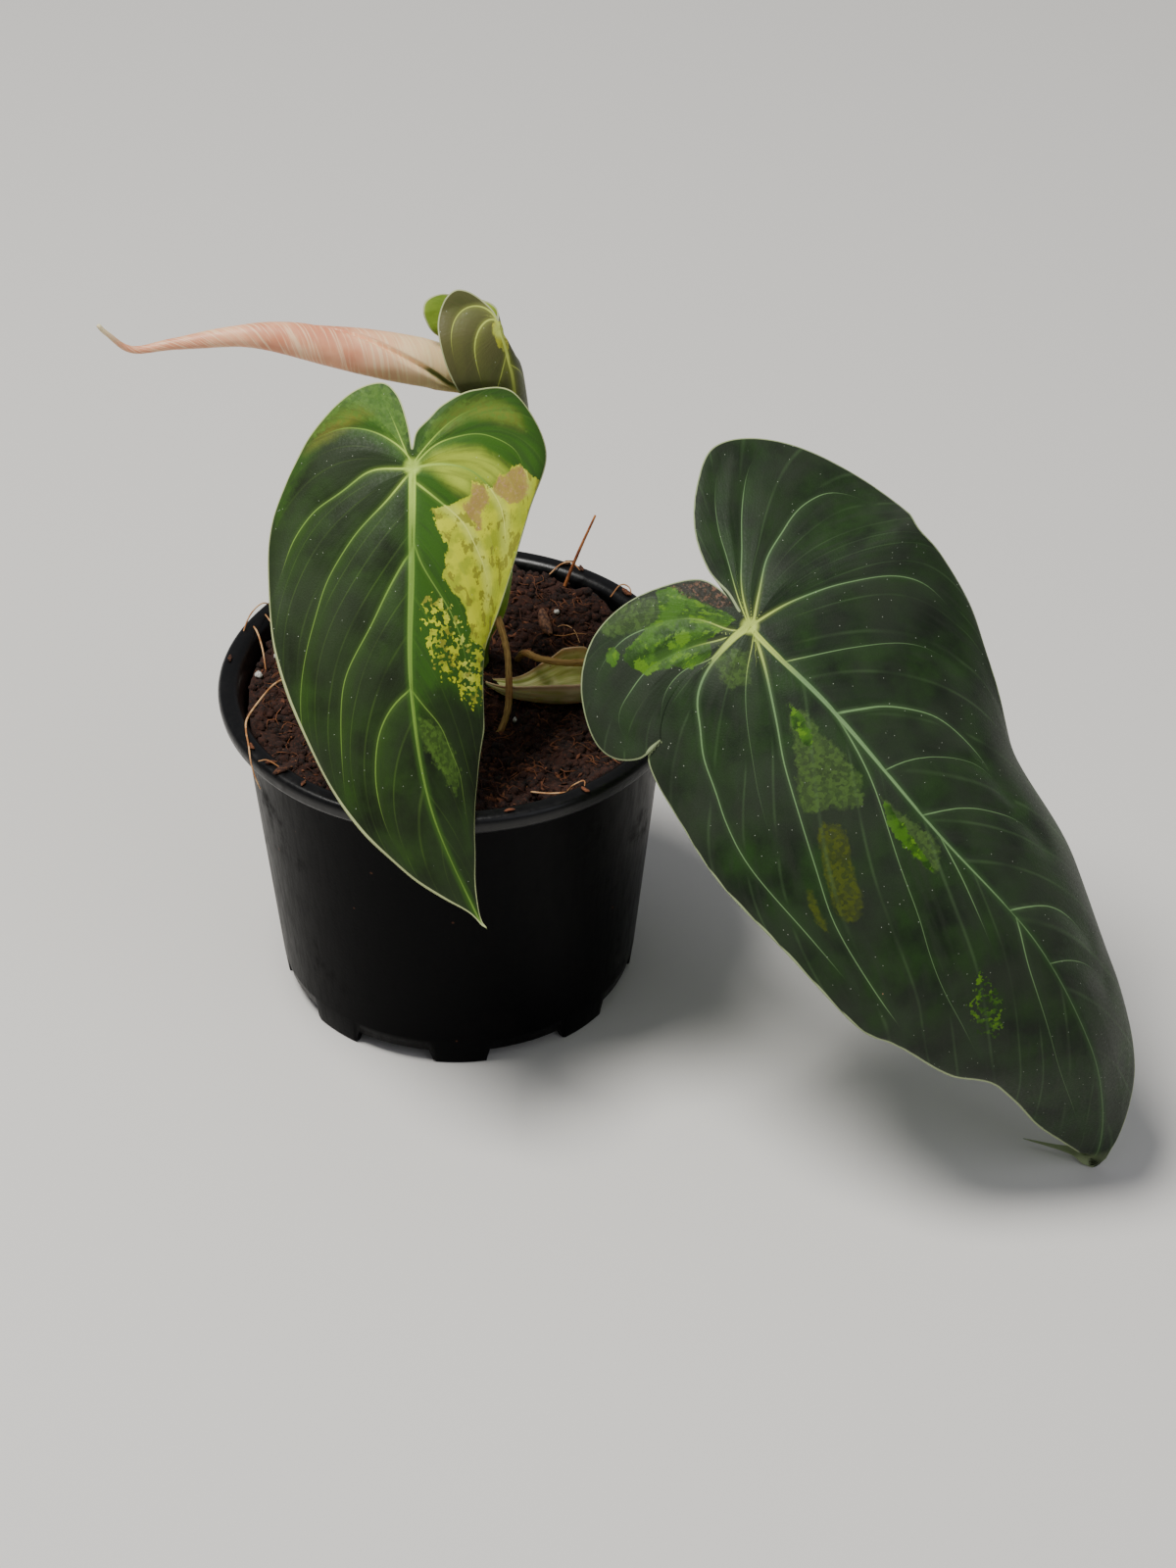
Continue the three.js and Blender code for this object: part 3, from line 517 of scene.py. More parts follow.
for name, (route, radii) in ROOTS.items():
    knots = np.random.default_rng(len(route)).uniform(0.9, 1.08, ROOT_KNOTS)

    def gnarled(t, angle):
        return np.interp(t, np.linspace(0, 1, ROOT_KNOTS), knots) + 0.03 * np.sin(7 * angle)

    adopt(shoot(name + "_skin", bark, route, radii, 20, 110, gnarled), "aerial_root", name)

# The coir bristle
# One stiff, wiry coir fibre that stands up out of the mix at the back.

BRISTLE_POINTS = [[25.4, 40, 80], [26.9, 42, 85.4], [31.4, 44, 97.7], [36, 47, 107.8]]
BRISTLE_RADII = [0.45, 0.45, 0.4, 0.3]

coir = Finish("coir_fibre", Roughness=0.7)
coir.paint(0x7a3f20)
coir.paint(0xb5713c, coir.step(coir.noise(3, coir.place(), 4), 0.35, 0.65))
coir.bump(coir.noise(0.4, coir.place(stretch=(1, 1, 4)), 3), 0.1)
adopt(shoot("coir_bristle_fibre", coir, BRISTLE_POINTS, BRISTLE_RADII, 12, 60), "coir", "coir_bristle")

# The loose top of the potting mix
# Crumbs of peat, chips of bark and short fibres of coir that lie loose on the mix. Each kind is strewn over
# the upper side of the fill from three small bodies, with a seed of its own, and stays clear of the pot.

STREW_INPUTS = {
    "Bed": "Geometry", "Bits": "Collection", "Amount": "Float", "Seed": "Int", "Smallest": "Float",
    "Largest": "Float", "Tilt": "Float", "Reach": "Float", "Finish": "Material",
}
STEEPEST = 0.3


def uneven(route, radii, sides, steps, seed, jolt, flatten=1):
    """A tube with every point pushed about a little, and pressed flat."""
    points, faces, _ = tube(route, radii, sides, steps)
    points = points + np.random.default_rng(seed).uniform(-jolt, jolt, points.shape)
    return points * (1, 1, flatten), faces


def strewing():
    """A node tree that strews the bits of a collection over the upward faces of a bed."""
    tree = bpy.data.node_groups.new("strew", "GeometryNodeTree")
    for label, kind in STREW_INPUTS.items():
        tree.interface.new_socket(label, in_out="INPUT", socket_type="NodeSocket" + kind)
    tree.interface.new_socket("Strewn", in_out="OUTPUT", socket_type="NodeSocketGeometry")

    def put(kind, inputs, **settings):
        return add_node(tree, kind, inputs, settings)

    def math_node(operation, first, second):
        return put("ShaderNodeMath", {0: first, 1: second}, operation=operation)[0]

    def drawn(kind, low, high):
        """A random value for each bit, between two sockets of the random node."""
        sockets = {**low, **high, "Seed": given["Seed"]}
        return put("FunctionNodeRandomValue", sockets, data_type=kind)

    given = put("NodeGroupInput", {})
    normal = put("GeometryNodeInputNormal", {})[0]
    upward = put("ShaderNodeSeparateXYZ", {0: normal})["Z"]
    position = put("GeometryNodeInputPosition", {})[0]
    level = put("ShaderNodeVectorMath", {0: position, 1: (1, 1, 0)}, operation="MULTIPLY")[0]
    out = put("ShaderNodeVectorMath", {0: level}, operation="LENGTH")["Value"]
    within = math_node("LESS_THAN", out, given["Reach"])
    chosen = math_node("MULTIPLY", math_node("GREATER_THAN", upward, STEEPEST), within)
    spots = put("GeometryNodeDistributePointsOnFaces", {
        "Mesh": given["Bed"], "Selection": chosen, "Density": given["Amount"], "Seed": given["Seed"],
    })["Points"]
    bits = put("GeometryNodeCollectionInfo", {
        "Collection": given["Bits"], "Separate Children": True, "Reset Children": True,
    })[0]
    back = math_node("MULTIPLY", given["Tilt"], -1)
    least = put("ShaderNodeCombineXYZ", {0: back, 1: back, 2: 0})[0]
    most = put("ShaderNodeCombineXYZ", {0: given["Tilt"], 1: given["Tilt"], 2: 2 * math.pi})[0]
    turn = drawn("FLOAT_VECTOR", {0: least}, {1: most})[0]
    size = drawn("FLOAT", {2: given["Smallest"]}, {3: given["Largest"]})[1]
    pick = drawn("INT", {4: 0}, {5: 2})[2]
    strewn = put("GeometryNodeInstanceOnPoints", {
        "Points": spots, "Instance": bits, "Pick Instance": True, "Instance Index": pick,
        "Rotation": turn, "Scale": size,
    })[0]
    solid = put("GeometryNodeRealizeInstances", {0: strewn})[0]
    finished = put("GeometryNodeSetMaterial", {0: solid, "Material": given["Finish"]})[0]
    put("NodeGroupOutput", {0: finished})
    return tree


strewing_tree = strewing()


def strew(name, bodies, finish, amount, seed, smallest, largest, tilt, reach):
    """A mesh of the bodies strewn over the fill: about that many to the square metre, within that radius."""
    bits = bpy.data.collections.new(name + "_bits")
    for n, (points, faces) in enumerate(bodies):
        bit = build(f"{name}_bit_{n}", points, faces, finish)
        bpy.context.scene.collection.objects.unlink(bit)
        bits.objects.link(bit)
    bed = placed(name + "_bed", fill.data)
    layer = bed.modifiers.new("strew", "NODES")
    layer.node_group = strewing_tree
    given = {"Bits": bits, "Amount": float(amount), "Seed": seed, "Smallest": smallest, "Largest": largest,
             "Tilt": tilt, "Reach": reach * MM, "Finish": finish.material}
    for socket in strewing_tree.interface.items_tree:
        if socket.name in given:
            layer[socket.identifier] = given[socket.name]
    bed.update_tag()
    graph = bpy.context.evaluated_depsgraph_get()
    graph.update()
    done = bpy.data.meshes.new_from_object(bed.evaluated_get(graph))
    done.name = name
    bed.modifiers.remove(layer)
    bpy.data.objects.remove(bed)
    for bit in list(bits.objects):
        bpy.data.objects.remove(bit)
    bpy.data.collections.remove(bits)
    return placed(name, done)


def two_toned(name, roughness, patches, spread, tones, grain, depth):
    """A finish of one tone in patches on another, with a fine relief. patches and grain are noises."""
    finish = Finish(name, Roughness=roughness)
    spot = finish.place()
    finish.paint(tones[0])
    finish.paint(tones[1], finish.step(finish.noise(patches[0], spot, *patches[1:]), *spread))
    finish.bump(finish.noise(grain[0], spot, *grain[1:]), depth)
    return finish


wood = two_toned("bark_chips", 0.9, (9, 2), (0.4, 0.6), (0x2c140b, 0x673a22), (0.4, 3), 0.2)
wood.paint(0x8c5733, wood.step(wood.noise(0.5, wood.place(stretch=(3, 1, 1)), 4, 0.7), 0.5, 0.7))
husky = two_toned("brown_coir", 0.85, (6, 3), (0.4, 0.62), (0x3f2012, 0x7a4827), (0.4, 3), 0.1)

CRUMB = ([[-0.6, 0, 0], [0, 0.1, 0.1], [0.6, 0, 0]], [0.6, 1, 0.7])
CHIP = ([[-2.6, 0, 0], [0, 0.4, 0.2], [2.6, 0, 0]], [0.5, 1.3, 1.1, 0.5])
FIBRE_RADII = [0.13, 0.18, 0.1]
crumbs = [uneven(*CRUMB, 5, 2, n, 0.25) for n in range(3)]
chips = [uneven(*CHIP, 6, 4, 7 + n, 0.22, 0.45) for n in range(3)]
fibres = []
for n in range(3):
    route = [[-5, 0, 0], [-2, 1.2 + n, 0.8], [2, n - 1.4, 1.4], [5, 0.8, 0.2]]
    fibres.append(uneven(route, FIBRE_RADII, 4, 6, 11 + n, 0.04))
adopt(strew("peat_crumbs", crumbs, peat, 330000, 4, 0.4, 1.5, 3, 52), "potting_mix")
adopt(strew("bark_chips_loose", chips, wood, 90000, 5, 0.2, 0.62, 1, 50.5), "potting_mix")
adopt(strew("coir_fibres_loose", fibres, husky, 90000, 6, 0.3, 0.9, 0.5, 49), "potting_mix")

# Larger loose bits
# What stands out on the mix: grains of perlite, bark chips spilled on the rim, a dry curled husk, and long
# pale strands of coir, one of which hangs over the rim at the left. Each is placed one by one.

# Places across the mix and the size of each grain.
GRAINS = [
    (15.5, -9.5, 0.75), (26, 29.7, 0.8), (-50, 7, 1.1), (-46, 14, 0.8), (-12, -46, 0.8), (6, 44, 0.8),
]
# Places on the rim, with the turn and the size of each chip.
RIM_CHIPS = [
    (-41.4, -39.5, 0.6, 1), (-44.5, -36.4, 0.2, 0.55), (-49.6, -29.6, 2, 0.5), (-36, -44.9, 1.2, 0.45),
    (14.9, -55.9, 0.3, 0.5), (33.5, -47.4, 2.4, 0.5), (28.7, 50.5, 0.4, 0.7), (32.5, 48.3, 1.9, 0.5),
    (44.3, 37.4, 2.2, 0.7), (-57.2, 8, 1.6, 0.5),
]
GRAIN_LIFT = 1
CHIP_LIFT = 0.35
# The route of each strand, and its radius at the root.
STRANDS = [
    ([[-43, 6, 85.5], [-46, 0, 87.5], [-49, -8, 88.5], [-51.5, -17, 89.6], [-51.4, -24, 91], [-50.3, -31,
                                                                                              91.2],
      [-49.6, -35.5, 89.6], [-48.6, -37.2, 86.4], [-47.4, -37.6, 83]], 0.28),
    ([[-54, 26, 88.4], [-51.5, 21, 90], [-49.6, 15, 88.6], [-48.4, 8.5, 86.2]], 0.25),
    ([[-50, 30, 89], [-48, 23, 91.5], [-45.5, 17, 91.6], [-44, 11, 86]], 0.2),
    ([[-55.2, 19, 88.6], [-53, 24, 92.4], [-49.5, 28, 93.4], [-46, 30, 88.6]], 0.2),
    ([[-36, -40.6, 86.4], [-40.5, -38.6, 88.8], [-45, -37, 91.3], [-47.6, -36.9, 91.1]], 0.22),
    ([[20, -41, 84.6], [25, -44, 86.4], [31, -46.2, 88.6], [35.8, -45.8, 88.2]], 0.24),
    ([[29, -40.5, 84.4], [30.5, -43, 88.2], [33.2, -44.4, 90.6], [33, -46.5, 88.8]], 0.2),
    ([[24, 47, 89.2], [27, 49.6, 90.6], [30, 50, 90.8], [33, 46.5, 89.4]], 0.2),
    ([[40, 37, 89], [42.6, 39.6, 91], [45, 38.6, 90.6], [45.4, 35, 88.6]], 0.2),
    ([[-22, -48, 85], [-17, -50, 87.6], [-10, -50.6, 88], [-6, -46, 84.4]], 0.2),
    ([[25, 23.2, 86.6], [28, 21.6, 87.6], [31, 22, 88], [34.4, 23.8, 86.4]], 0.15),
    ([[24.4, 25, 86.6], [27.6, 25.4, 88.2], [30.4, 24.2, 87.6], [32, 20.6, 86]], 0.13),
]
# The nets of points that a leaf's skin is made from, and the grid, in parts of a millimetre, that welds them.
SKIN_NETS = ("middle", "facing", "above", "below", "flat")
WELD_GRID = 500
HUSK_POINTS = [[22.2, 28.6, 90.6], [22.5, 26.3, 89.4], [23.4, 23.6, 88.6], [24.4, 21.2, 88.2]]
HUSK_RADIUS = 1.5
HUSK_HALF = 0.14
HUSK_CURL = math.radians(-20), math.radians(265)


def gathered(name, bodies, finish):
    """One piece made of several closed bodies."""
    points, faces = [], []
    for spots, sides in bodies:
        faces += [[len(points) + k for k in side] for side in sides]
        points += list(spots)
    return build(name, points, faces, finish)


def moved(body, x, y, z, turn, size):
    """A copy of a body, turned about its upright axis, scaled and put in its place."""
    (across, back, up), faces = body[0].T, body[1]
    c, s = math.cos(turn), math.sin(turn)
    return np.stack([across * c - back * s, across * s + back * c, up], 1) * size + (x, y, z), faces


foam = two_toned("perlite_grain", 0.9, (0.5, 3), (0.4, 0.6), (0xa9a49c, 0xe2dfd8), (0.3, 3), 0.2)
straw = two_toned("pale_coir_strand", 0.7, (4, 3), (0.4, 0.65), (0xa06a3c, 0xd3a878), (0.3, 3), 0.1)
husk = two_toned("dry_husk", 0.75, (0.8, 4, 0.7), (0.4, 0.6), (0x3a2217, 0x82583c), (0.5, 4), 0.2)

grains, spilled = [], []
for n, (x, y, size) in enumerate(GRAINS):
    grains.append(moved(crumbs[n % 3], x, y, soil_height(x, y) + GRAIN_LIFT, n, size))
for n, (x, y, turn, size) in enumerate(RIM_CHIPS):
    spilled.append(moved(chips[n % 3], x, y, POT_HEIGHT + CHIP_LIFT, turn, size))
adopt(gathered("perlite_grains", grains, foam), "potting_mix")
adopt(gathered("rim_chips", spilled, wood), "potting_mix")
strands = [tube(route, [radius, radius, radius * 0.6], 8, 30)[:2] for route, radius in STRANDS]
adopt(gathered("coir_strands", strands, straw), "potting_mix")


def net_faces(nets, flips):
    """The four-sided faces of several nets of points, wound the other way where flipped."""
    quads, first = [], 0
    for net, flipped in zip(nets, flips):
        rows, columns = net.shape[:2]
        index = first + np.arange(rows * columns).reshape(rows, columns)
        a, b, c, d = index[:-1, :-1], index[:-1, 1:], index[1:, 1:], index[1:, :-1]
        quads.append(np.stack([a, d, c, b] if flipped else [a, b, c, d], -1).reshape(-1, 4))
        first += rows * columns
    return np.vstack(quads)


def listed(nets):
    """Several nets as one table with a row for each point."""
    return np.vstack([net.reshape(net.shape[0] * net.shape[1], -1) for net in nets])


def leaf_sheet(name, finish, nets, fields, flips):
    """A closed thin skin: an upper face, a lower face and a wall round the open edge. nets holds the middle
    surface, the way it faces, how far it reaches above and below, and its flat coordinates."""
    centre, up, above, below, flat = (listed(nets[key]) for key in SKIN_NETS)
    spots = np.round(centre * WELD_GRID).astype(np.int64)
    _, kept, welded = np.unique(spots, axis=0, return_index=True, return_inverse=True)
    count = len(kept)
    rings = []
    for face in welded.ravel()[net_faces(nets["middle"], flips)]:
        ring = [v for n, v in enumerate(face) if v != face[n - 1]]
        if len(ring) > 2 and len(set(ring)) == len(ring):
            rings.append(ring)
    edges = dict.fromkeys((ring[n - 1], v) for ring in rings for n, v in enumerate(ring))
    rim = [(b, a, a + count, b + count) for a, b in edges if (b, a) not in edges]
    lower = [[v + count for v in ring[::-1]] for ring in rings]
    points = np.vstack([centre[kept] + up[kept] * above[kept], centre[kept] - up[kept] * below[kept]])
    both = {field: np.tile(listed(held)[kept].ravel(), 2) for field, held in fields.items()}
    both["under"] = np.repeat([0, 1], count)
    return build(name, points, rings + lower + rim, finish, np.tile(flat[kept], (2, 1)), **both)


def curled_husk():
    t, curl = np.meshgrid(np.linspace(0, 1, 31), np.linspace(*HUSK_CURL, 41), indexing="ij")
    route = along(HUSK_POINTS, 30)[0]
    radius = HUSK_RADIUS * np.sin(np.pi * (0.08 + 0.88 * t)) ** 0.7 * (1 - 0.03 * curl)
    facing = unit(np.stack([np.cos(curl), 0.25 * np.sin(6 * t), np.sin(curl)], -1))
    thick = np.full(t.shape + (1,), HUSK_HALF)
    nets = {"middle": [route[:, None] + facing * radius[..., None]], "facing": [facing], "above": [thick],
            "below": [thick], "flat": [np.stack([t * 14, curl * 2], -1)]}
    return leaf_sheet("curled_husk", husk, nets, {}, [False])


adopt(curled_husk(), "potting_mix")

# The cataphyll
# The dry sheath that once wrapped the big leaf's bud: thin, boat-shaped and papery, with lengthwise veins.
# It grips node one and lies in the mix with its point to the left.

KEEL = [[41, 6, 83.4], [36.5, 1.5, 83.6], [31, -0.6, 83.8], [24, -0.2, 83.4], [15, 1.4, 83.8], [6.8, 5, 85.6]]
SHEATH_HALF = [5, 6, 6.4, 5.8, 4, 0.6]
SHEATH_DEPTH = [8, 8.6, 8.4, 7, 4.4, 0.5]
SHEATH_FRONT = [80, 90, 95, 98, 98, 90]
SHEATH_BACK = [90, 112, 118, 84, 58, 60]
SHEATH_STEPS = 120
SHEATH_ACROSS = 64
SHEATH_EASE = 14
SHEATH_SKIN = 0.22
SHEATH_HEM = 0.1
SHEATH_RIPPLE = 0.1

sheath = Finish("papery_sheath", Roughness=0.6, Subsurface_Weight=0.15, Subsurface_Scale=0.002)
line = sheath.noise(0.9, sheath.flat(stretch=(26, 1, 1)), 3, 0.6)
sheath.paint(0xaab05a)
sheath.paint(0xe6e4a6, sheath.step(line, 0.35, 0.65))
sheath.paint(0xf0e7b9, sheath.step(sheath.noise(9, sheath.place(), 3), 0.48, 0.7, 0, 0.8))
sheath.paint(0xd3a78b, sheath.step(sheath.field("hem"), 0.75, 1, 0, 0.7))
sheath.paint(0xa07f58, sheath.specks(3, sheath.place(), 0.3, 0.2))
sheath.bump(line, 0.15)


def keel_row(row, ease=1):
    """Values along the keel, drawn from a few and evened out over their neighbours on both sides."""
    steps = np.arange(-ease, SHEATH_STEPS + ease + 1) / SHEATH_STEPS
    window = np.full(2 * ease + 1, 1 / (2 * ease + 1))
    return np.convolve(np.interp(steps, np.linspace(0, 1, len(row)), row), window, "valid")[:, None]


def cataphyll():
    at, ahead, length = along(KEEL, SHEATH_STEPS)
    t = np.arange(SHEATH_STEPS + 1)[:, None] / SHEATH_STEPS
    t, share = np.broadcast_arrays(t, np.linspace(0, 1, SHEATH_ACROSS + 1))
    side = unit(np.cross((0, 0, 1), ahead))
    up = np.cross(ahead, side)
    back, front = keel_row(SHEATH_BACK, SHEATH_EASE), keel_row(SHEATH_FRONT, SHEATH_EASE)
    turn = np.radians(-back + (back + front) * share)
    out = keel_row(SHEATH_HALF) * np.sin(turn)
    rise = keel_row(SHEATH_DEPTH) * (1 - np.cos(turn))
    middle = at[:, None] + side[:, None] * out[..., None] + up[:, None] * rise[..., None]
    facing = up[:, None] * np.cos(turn)[..., None] - side[:, None] * np.sin(turn)[..., None]
    ripple = SHEATH_RIPPLE * np.sin(share * 60 + 2 * t)
    hem = np.abs(share * 2 - 1)
    thick = np.where(hem > 0.98, SHEATH_HEM, SHEATH_SKIN)[..., None]
    nets = {"middle": [middle + facing * ripple[..., None]], "facing": [facing], "above": [thick],
            "below": [thick], "flat": [np.stack([t * length, share * 12], -1)]}
    return leaf_sheet("dry_cataphyll", sheath, nets, {"hem": [hem]}, [True])


adopt(cataphyll(), "cataphyll", "cataphyll")

# The petioles
# Leaf stalks: round, firm and green with short pale streaks. Each clasps the stem at its node, which it
# leaves in a smooth curve, and narrows towards its blade.

PETIOLES = {
    "petiole_right": (
        [[38, 13, 84], [43, 5, 98], [53, -12, 117], [65, -33, 131.5], [70.6, -41.2, 135.2]],
        [4.4, 3.1, 2.7, 2.6, 2.5]),
    "petiole_front": (
        [[9.5, 11, 107], [3, 7, 119], [-4, 3, 137], [-8, -3, 153], [-8.3, -13.2, 162.6]],
        [3.8, 2.5, 2.1, 2.1, 2]),
    "petiole_small": (
        [[11, 19.5, 141], [14, 18.5, 152], [13, 16.5, 166], [11.8, 14, 179], [12, 11.9, 184.2],
         [12.1, 11.1, 185.8]],
        [3.4, 2, 1.5, 1.4, 1.3, 1]),
}

young = Finish("petiole_skin", Roughness=0.4, Specular_IOR_Level=0.45)
dash = young.noise(1.1, young.flat(stretch=(5, 1, 1)), 3, 0.6)
young.paint(0x6c8a35)
young.paint(0x93ab52, young.step(young.noise(8, young.place(), 3), 0.35, 0.65))
young.paint(0xc2cf8c, young.step(dash, 0.56, 0.68, 0, 0.75))
young.paint(0x4d6a27, young.step(dash, 0.42, 0.34, 0, 0.5))
young.bump(dash, 0.06)


def grooved(t, angle):
    return 0.985 + 0.015 * np.cos(9 * angle)


for name, (route, radii) in PETIOLES.items():
    adopt(shoot(name + "_stalk", young, route, radii, 36, 150, grooved), "petiole", name)

# The leaf blades
# Thin heart-shaped blades that hang from the petioles. Each half folds and curls down from the midrib by one
# rule, so every blade is worked out from a few stations along its midrib and an outline drawn flat. The veins
# are pressed into the upper face and stand proud below, and the tissue puffs up between them.

# A row for each station of a midrib: its place, the way its upper side faces, and then pairs of angles for
# the left and the right half: how far each falls away at the midrib, how much more it turns down every 10 mm,
# and, on the folded blade, how much it turns down right beside the midrib.
RIGHT_STATIONS = [
    [63, -27, 148, 0, -0.55, 0.83, 4, 8, 6, 2], [73, -45, 138, 0.12, -0.7, 0.68, 6, 7, 5, 0],
    [93, -62, 125, 0.22, -0.7, 0.64, 10, 10.6, 4, 3], [117, -82, 104.5, 0.28, -0.72, 0.58, 14, 13.8, 4, 10],
    [141, -96, 82, 0.32, -0.74, 0.52, 16, 21.3, 4, 11], [155.5, -99, 53, 0.36, -0.8, 0.42, 18, 25, 4, 12],
    [161, -94, 27.5, 0.36, -0.86, 0.28, 18, 22, 4, 11], [161.5, -86, 4.6, 0.2, -0.9, 0.4, 10, 10, 0, 0],
    [156, -81.5, 2, 0, -0.2, 1, 0, 0, 0, 0], [148, -78, 1.6, 0, 0, 1, 0, 0, 0, 0],
]
FRONT_STATIONS = [
    [-9, 2, 178.5, 0, -0.6, 0.8, 4, 4, 6, 6], [-8.5, -15, 164, 0, -0.75, 0.66, 6, 6, 6, 6],
    [-8.5, -33, 146.5, 0.08, -0.8, 0.6, 10, 14, 5, 6], [-8.5, -51, 124.5, 0.2, -0.82, 0.5, 14, 20, 5, 6],
    [-4, -66, 99.5, 0.28, -0.82, 0.45, 18, 26, 5, 6], [6.5, -77, 76, 0.3, -0.84, 0.4, 22, 30, 5, 6],
    [9.5, -80, 72.5, 0.3, -0.84, 0.4, 10, 10, 0, 0],
]
SMALL_STATIONS = [
    [11, 14, 194, 0.2, -0.7, 0.7, 0, 60, 8, 6, 0, 110], [13, 8.5, 188.1, 0.3, -0.8, 0.5, 0, 35, 10, 6, 0,
                                                         115],
    [15.2, 6.5, 179.2, 0.4, -0.85, 0.35, 4, 10, 12, 4, 0, 90], [16.1, 7, 172, 0.4, -0.9, 0.2, 6, 8, 12, 4,
                                                                0, 72],
    [16.7, 9.5, 157.9, 0.4, -0.9, 0, 8, 8, 10, 4, 0, 65], [16.5, 12, 142.5, 0.4, -0.9, -0.2, 8, 8, 8, 4, 0,
                                                           60],
    [16.3, 13, 134.5, 0.3, -0.9, -0.3, 6, 6, 0, 0, 0, 0],
]

# The outline of each half, -1 on the left and 1 on the right, as rows across it from the notch to the tip:
# where the row starts along the midrib, the place it bends towards, and the place where it meets the edge.
RIGHT_RIBS = {
    -1: [
        [0, -2, 0, -4.5, 0], [0, -6, 0.3, -10, 0.8], [0, -11, 2, -16.5, 4.8], [0, -15, 6, -19.6, 14],
        [0, -18, 11, -20.3, 24], [0, -20, 17, -17.5, 34], [0, -19.5, 24, -11, 42.5], [0, -14, 30, -2.5,
                                                                                      47.2],
        [0, -8, 31, 3, 46.4], [0, -4, 29, 6.8, 41], [0, -2, 26, 6.9, 34.6], [0, 0, 28, 8, 40.5],
        [0, 7, 33, 20, 45], [1, 20, 40, 42, 48], [3, 40, 43, 66, 47], [10, 60, 41, 92, 47],
        [24, 76, 36, 115, 40.6], [42, 92, 28, 129, 34.5], [58, 103, 22, 137, 26.5], [76, 116, 16.5, 150,
                                                                                     22.3],
        [96, 130, 12, 165, 17], [118, 146, 8, 176, 10.5], [146, 164, 4.3, 186, 4.6], [180, 188, 1.3, 197,
                                                                                      1.2],
        [208, 208, 0, 208, 0],
    ],
    1: [
        [0, -2, 0, -4.5, 0], [0, -6, 0, -10, -0.2], [0, -12, -0.8, -18, -2.3], [0, -19, -0.5, -29, -0.5],
        [0, -24, 3, -40, 5.5], [0, -29, 8, -48, 14], [0, -33, 14, -46.5, 26], [0, -34, 21, -38, 38],
        [0, -31, 30, -22, 49], [0, -26, 34, -9, 50.5], [0, -20, 37, 4, 50], [0, -13, 40, 16, 51.3],
        [0, -6, 41.5, 28, 51.3], [1, 2, 43, 40, 48.9], [3, 14, 43.5, 53, 49.1], [10, 30, 42, 68, 49],
        [24, 47, 39, 86, 47.2], [42, 66, 34.5, 104, 43.2], [58, 81, 29.5, 119, 37.8], [76, 99, 24, 134, 31],
        [96, 116, 18.5, 148, 23.5], [118, 135, 12, 162, 17], [146, 158, 6.5, 175, 8.5],
        [180, 186, 1.6, 193, 1.6], [208, 208, 0, 208, 0],
    ],
}
FRONT_RIBS = {
    -1: [
        [0, -2, 0, -4.5, 0], [0, -6, 1, -11, 1], [0, -12, 2, -18.5, 3.5], [0, -14, 5, -21.7, 8],
        [0, -16, 9, -18, 17], [0, -17, 15, -6, 28.5], [0, -11, 23, 13, 36.5], [0, 1, 31, 38, 35],
        [1, 17, 34, 54, 31], [3, 33, 32, 68, 26], [12, 47, 29, 77, 22], [22, 58, 25, 86, 17.5],
        [38, 66, 20, 92.5, 14], [54, 74, 14, 99, 10.3], [80, 92, 7, 106, 5.5], [100, 106, 2, 112, 1.2],
        [117, 117, 0, 117, 0],
    ],
    1: [
        [0, -2, 0, -4.5, 0], [0, -4, 0.5, -8.6, 1], [0, -7, 2, -12, 4], [0, -10, 4, -16, 8],
        [0, -14, 7, -19.6, 15.5], [0, -18, 12, -19.5, 26], [0, -20, 20, -6, 34], [0, -13, 27, 10, 29.5],
        [1, -3, 28, 33, 24.6], [3, 13, 25, 47.5, 21.7], [12, 30, 21, 64, 21.5], [22, 43, 18, 72, 20.5],
        [38, 58, 15, 84, 17], [54, 74, 12, 97, 9.5], [80, 92, 6, 105, 4.3], [100, 106, 2, 112, 1.2],
        [117, 117, 0, 117, 0],
    ],
}
SMALL_RIBS = {
    -1: [
        [0, -1, 0, -2.5, 0], [0, -3, 0.5, -5.5, 1], [0, -5, 1.5, -9, 3.3], [0, -7, 3.5, -11.5, 6],
        [0, -9, 6, -12.3, 9], [0, -9, 9, -10, 12.3], [0, -6, 12, -4.5, 15], [0, -1, 14, 4, 15.5],
        [0, 4, 15, 11.5, 14.3], [1, 9, 14, 18, 12], [5, 15, 12, 26, 9.3], [12, 22, 9, 34, 6.3],
        [24, 31, 5, 42, 3.4], [38, 42, 2, 48, 1.2], [55, 55, 0, 55, 0],
    ],
    1: [
        [0, -1, 0, -2.5, 0], [0, -3, 0.5, -5, 1.5], [0, -5, 1.5, -8, 5], [0, -7, 4, -10, 10],
        [0, -8, 7, -12, 15], [0, -8, 11, -10.5, 19.5], [0, -6, 14, -4, 20.5], [0, -1, 15, 4, 19],
        [0, 4, 16, 12, 17], [1, 9, 15, 19, 15], [5, 15, 13, 27, 12], [12, 22, 10, 35, 8],
        [24, 31, 5, 42, 4], [38, 42, 2, 48, 1.2], [55, 55, 0, 55, 0],
    ],
}

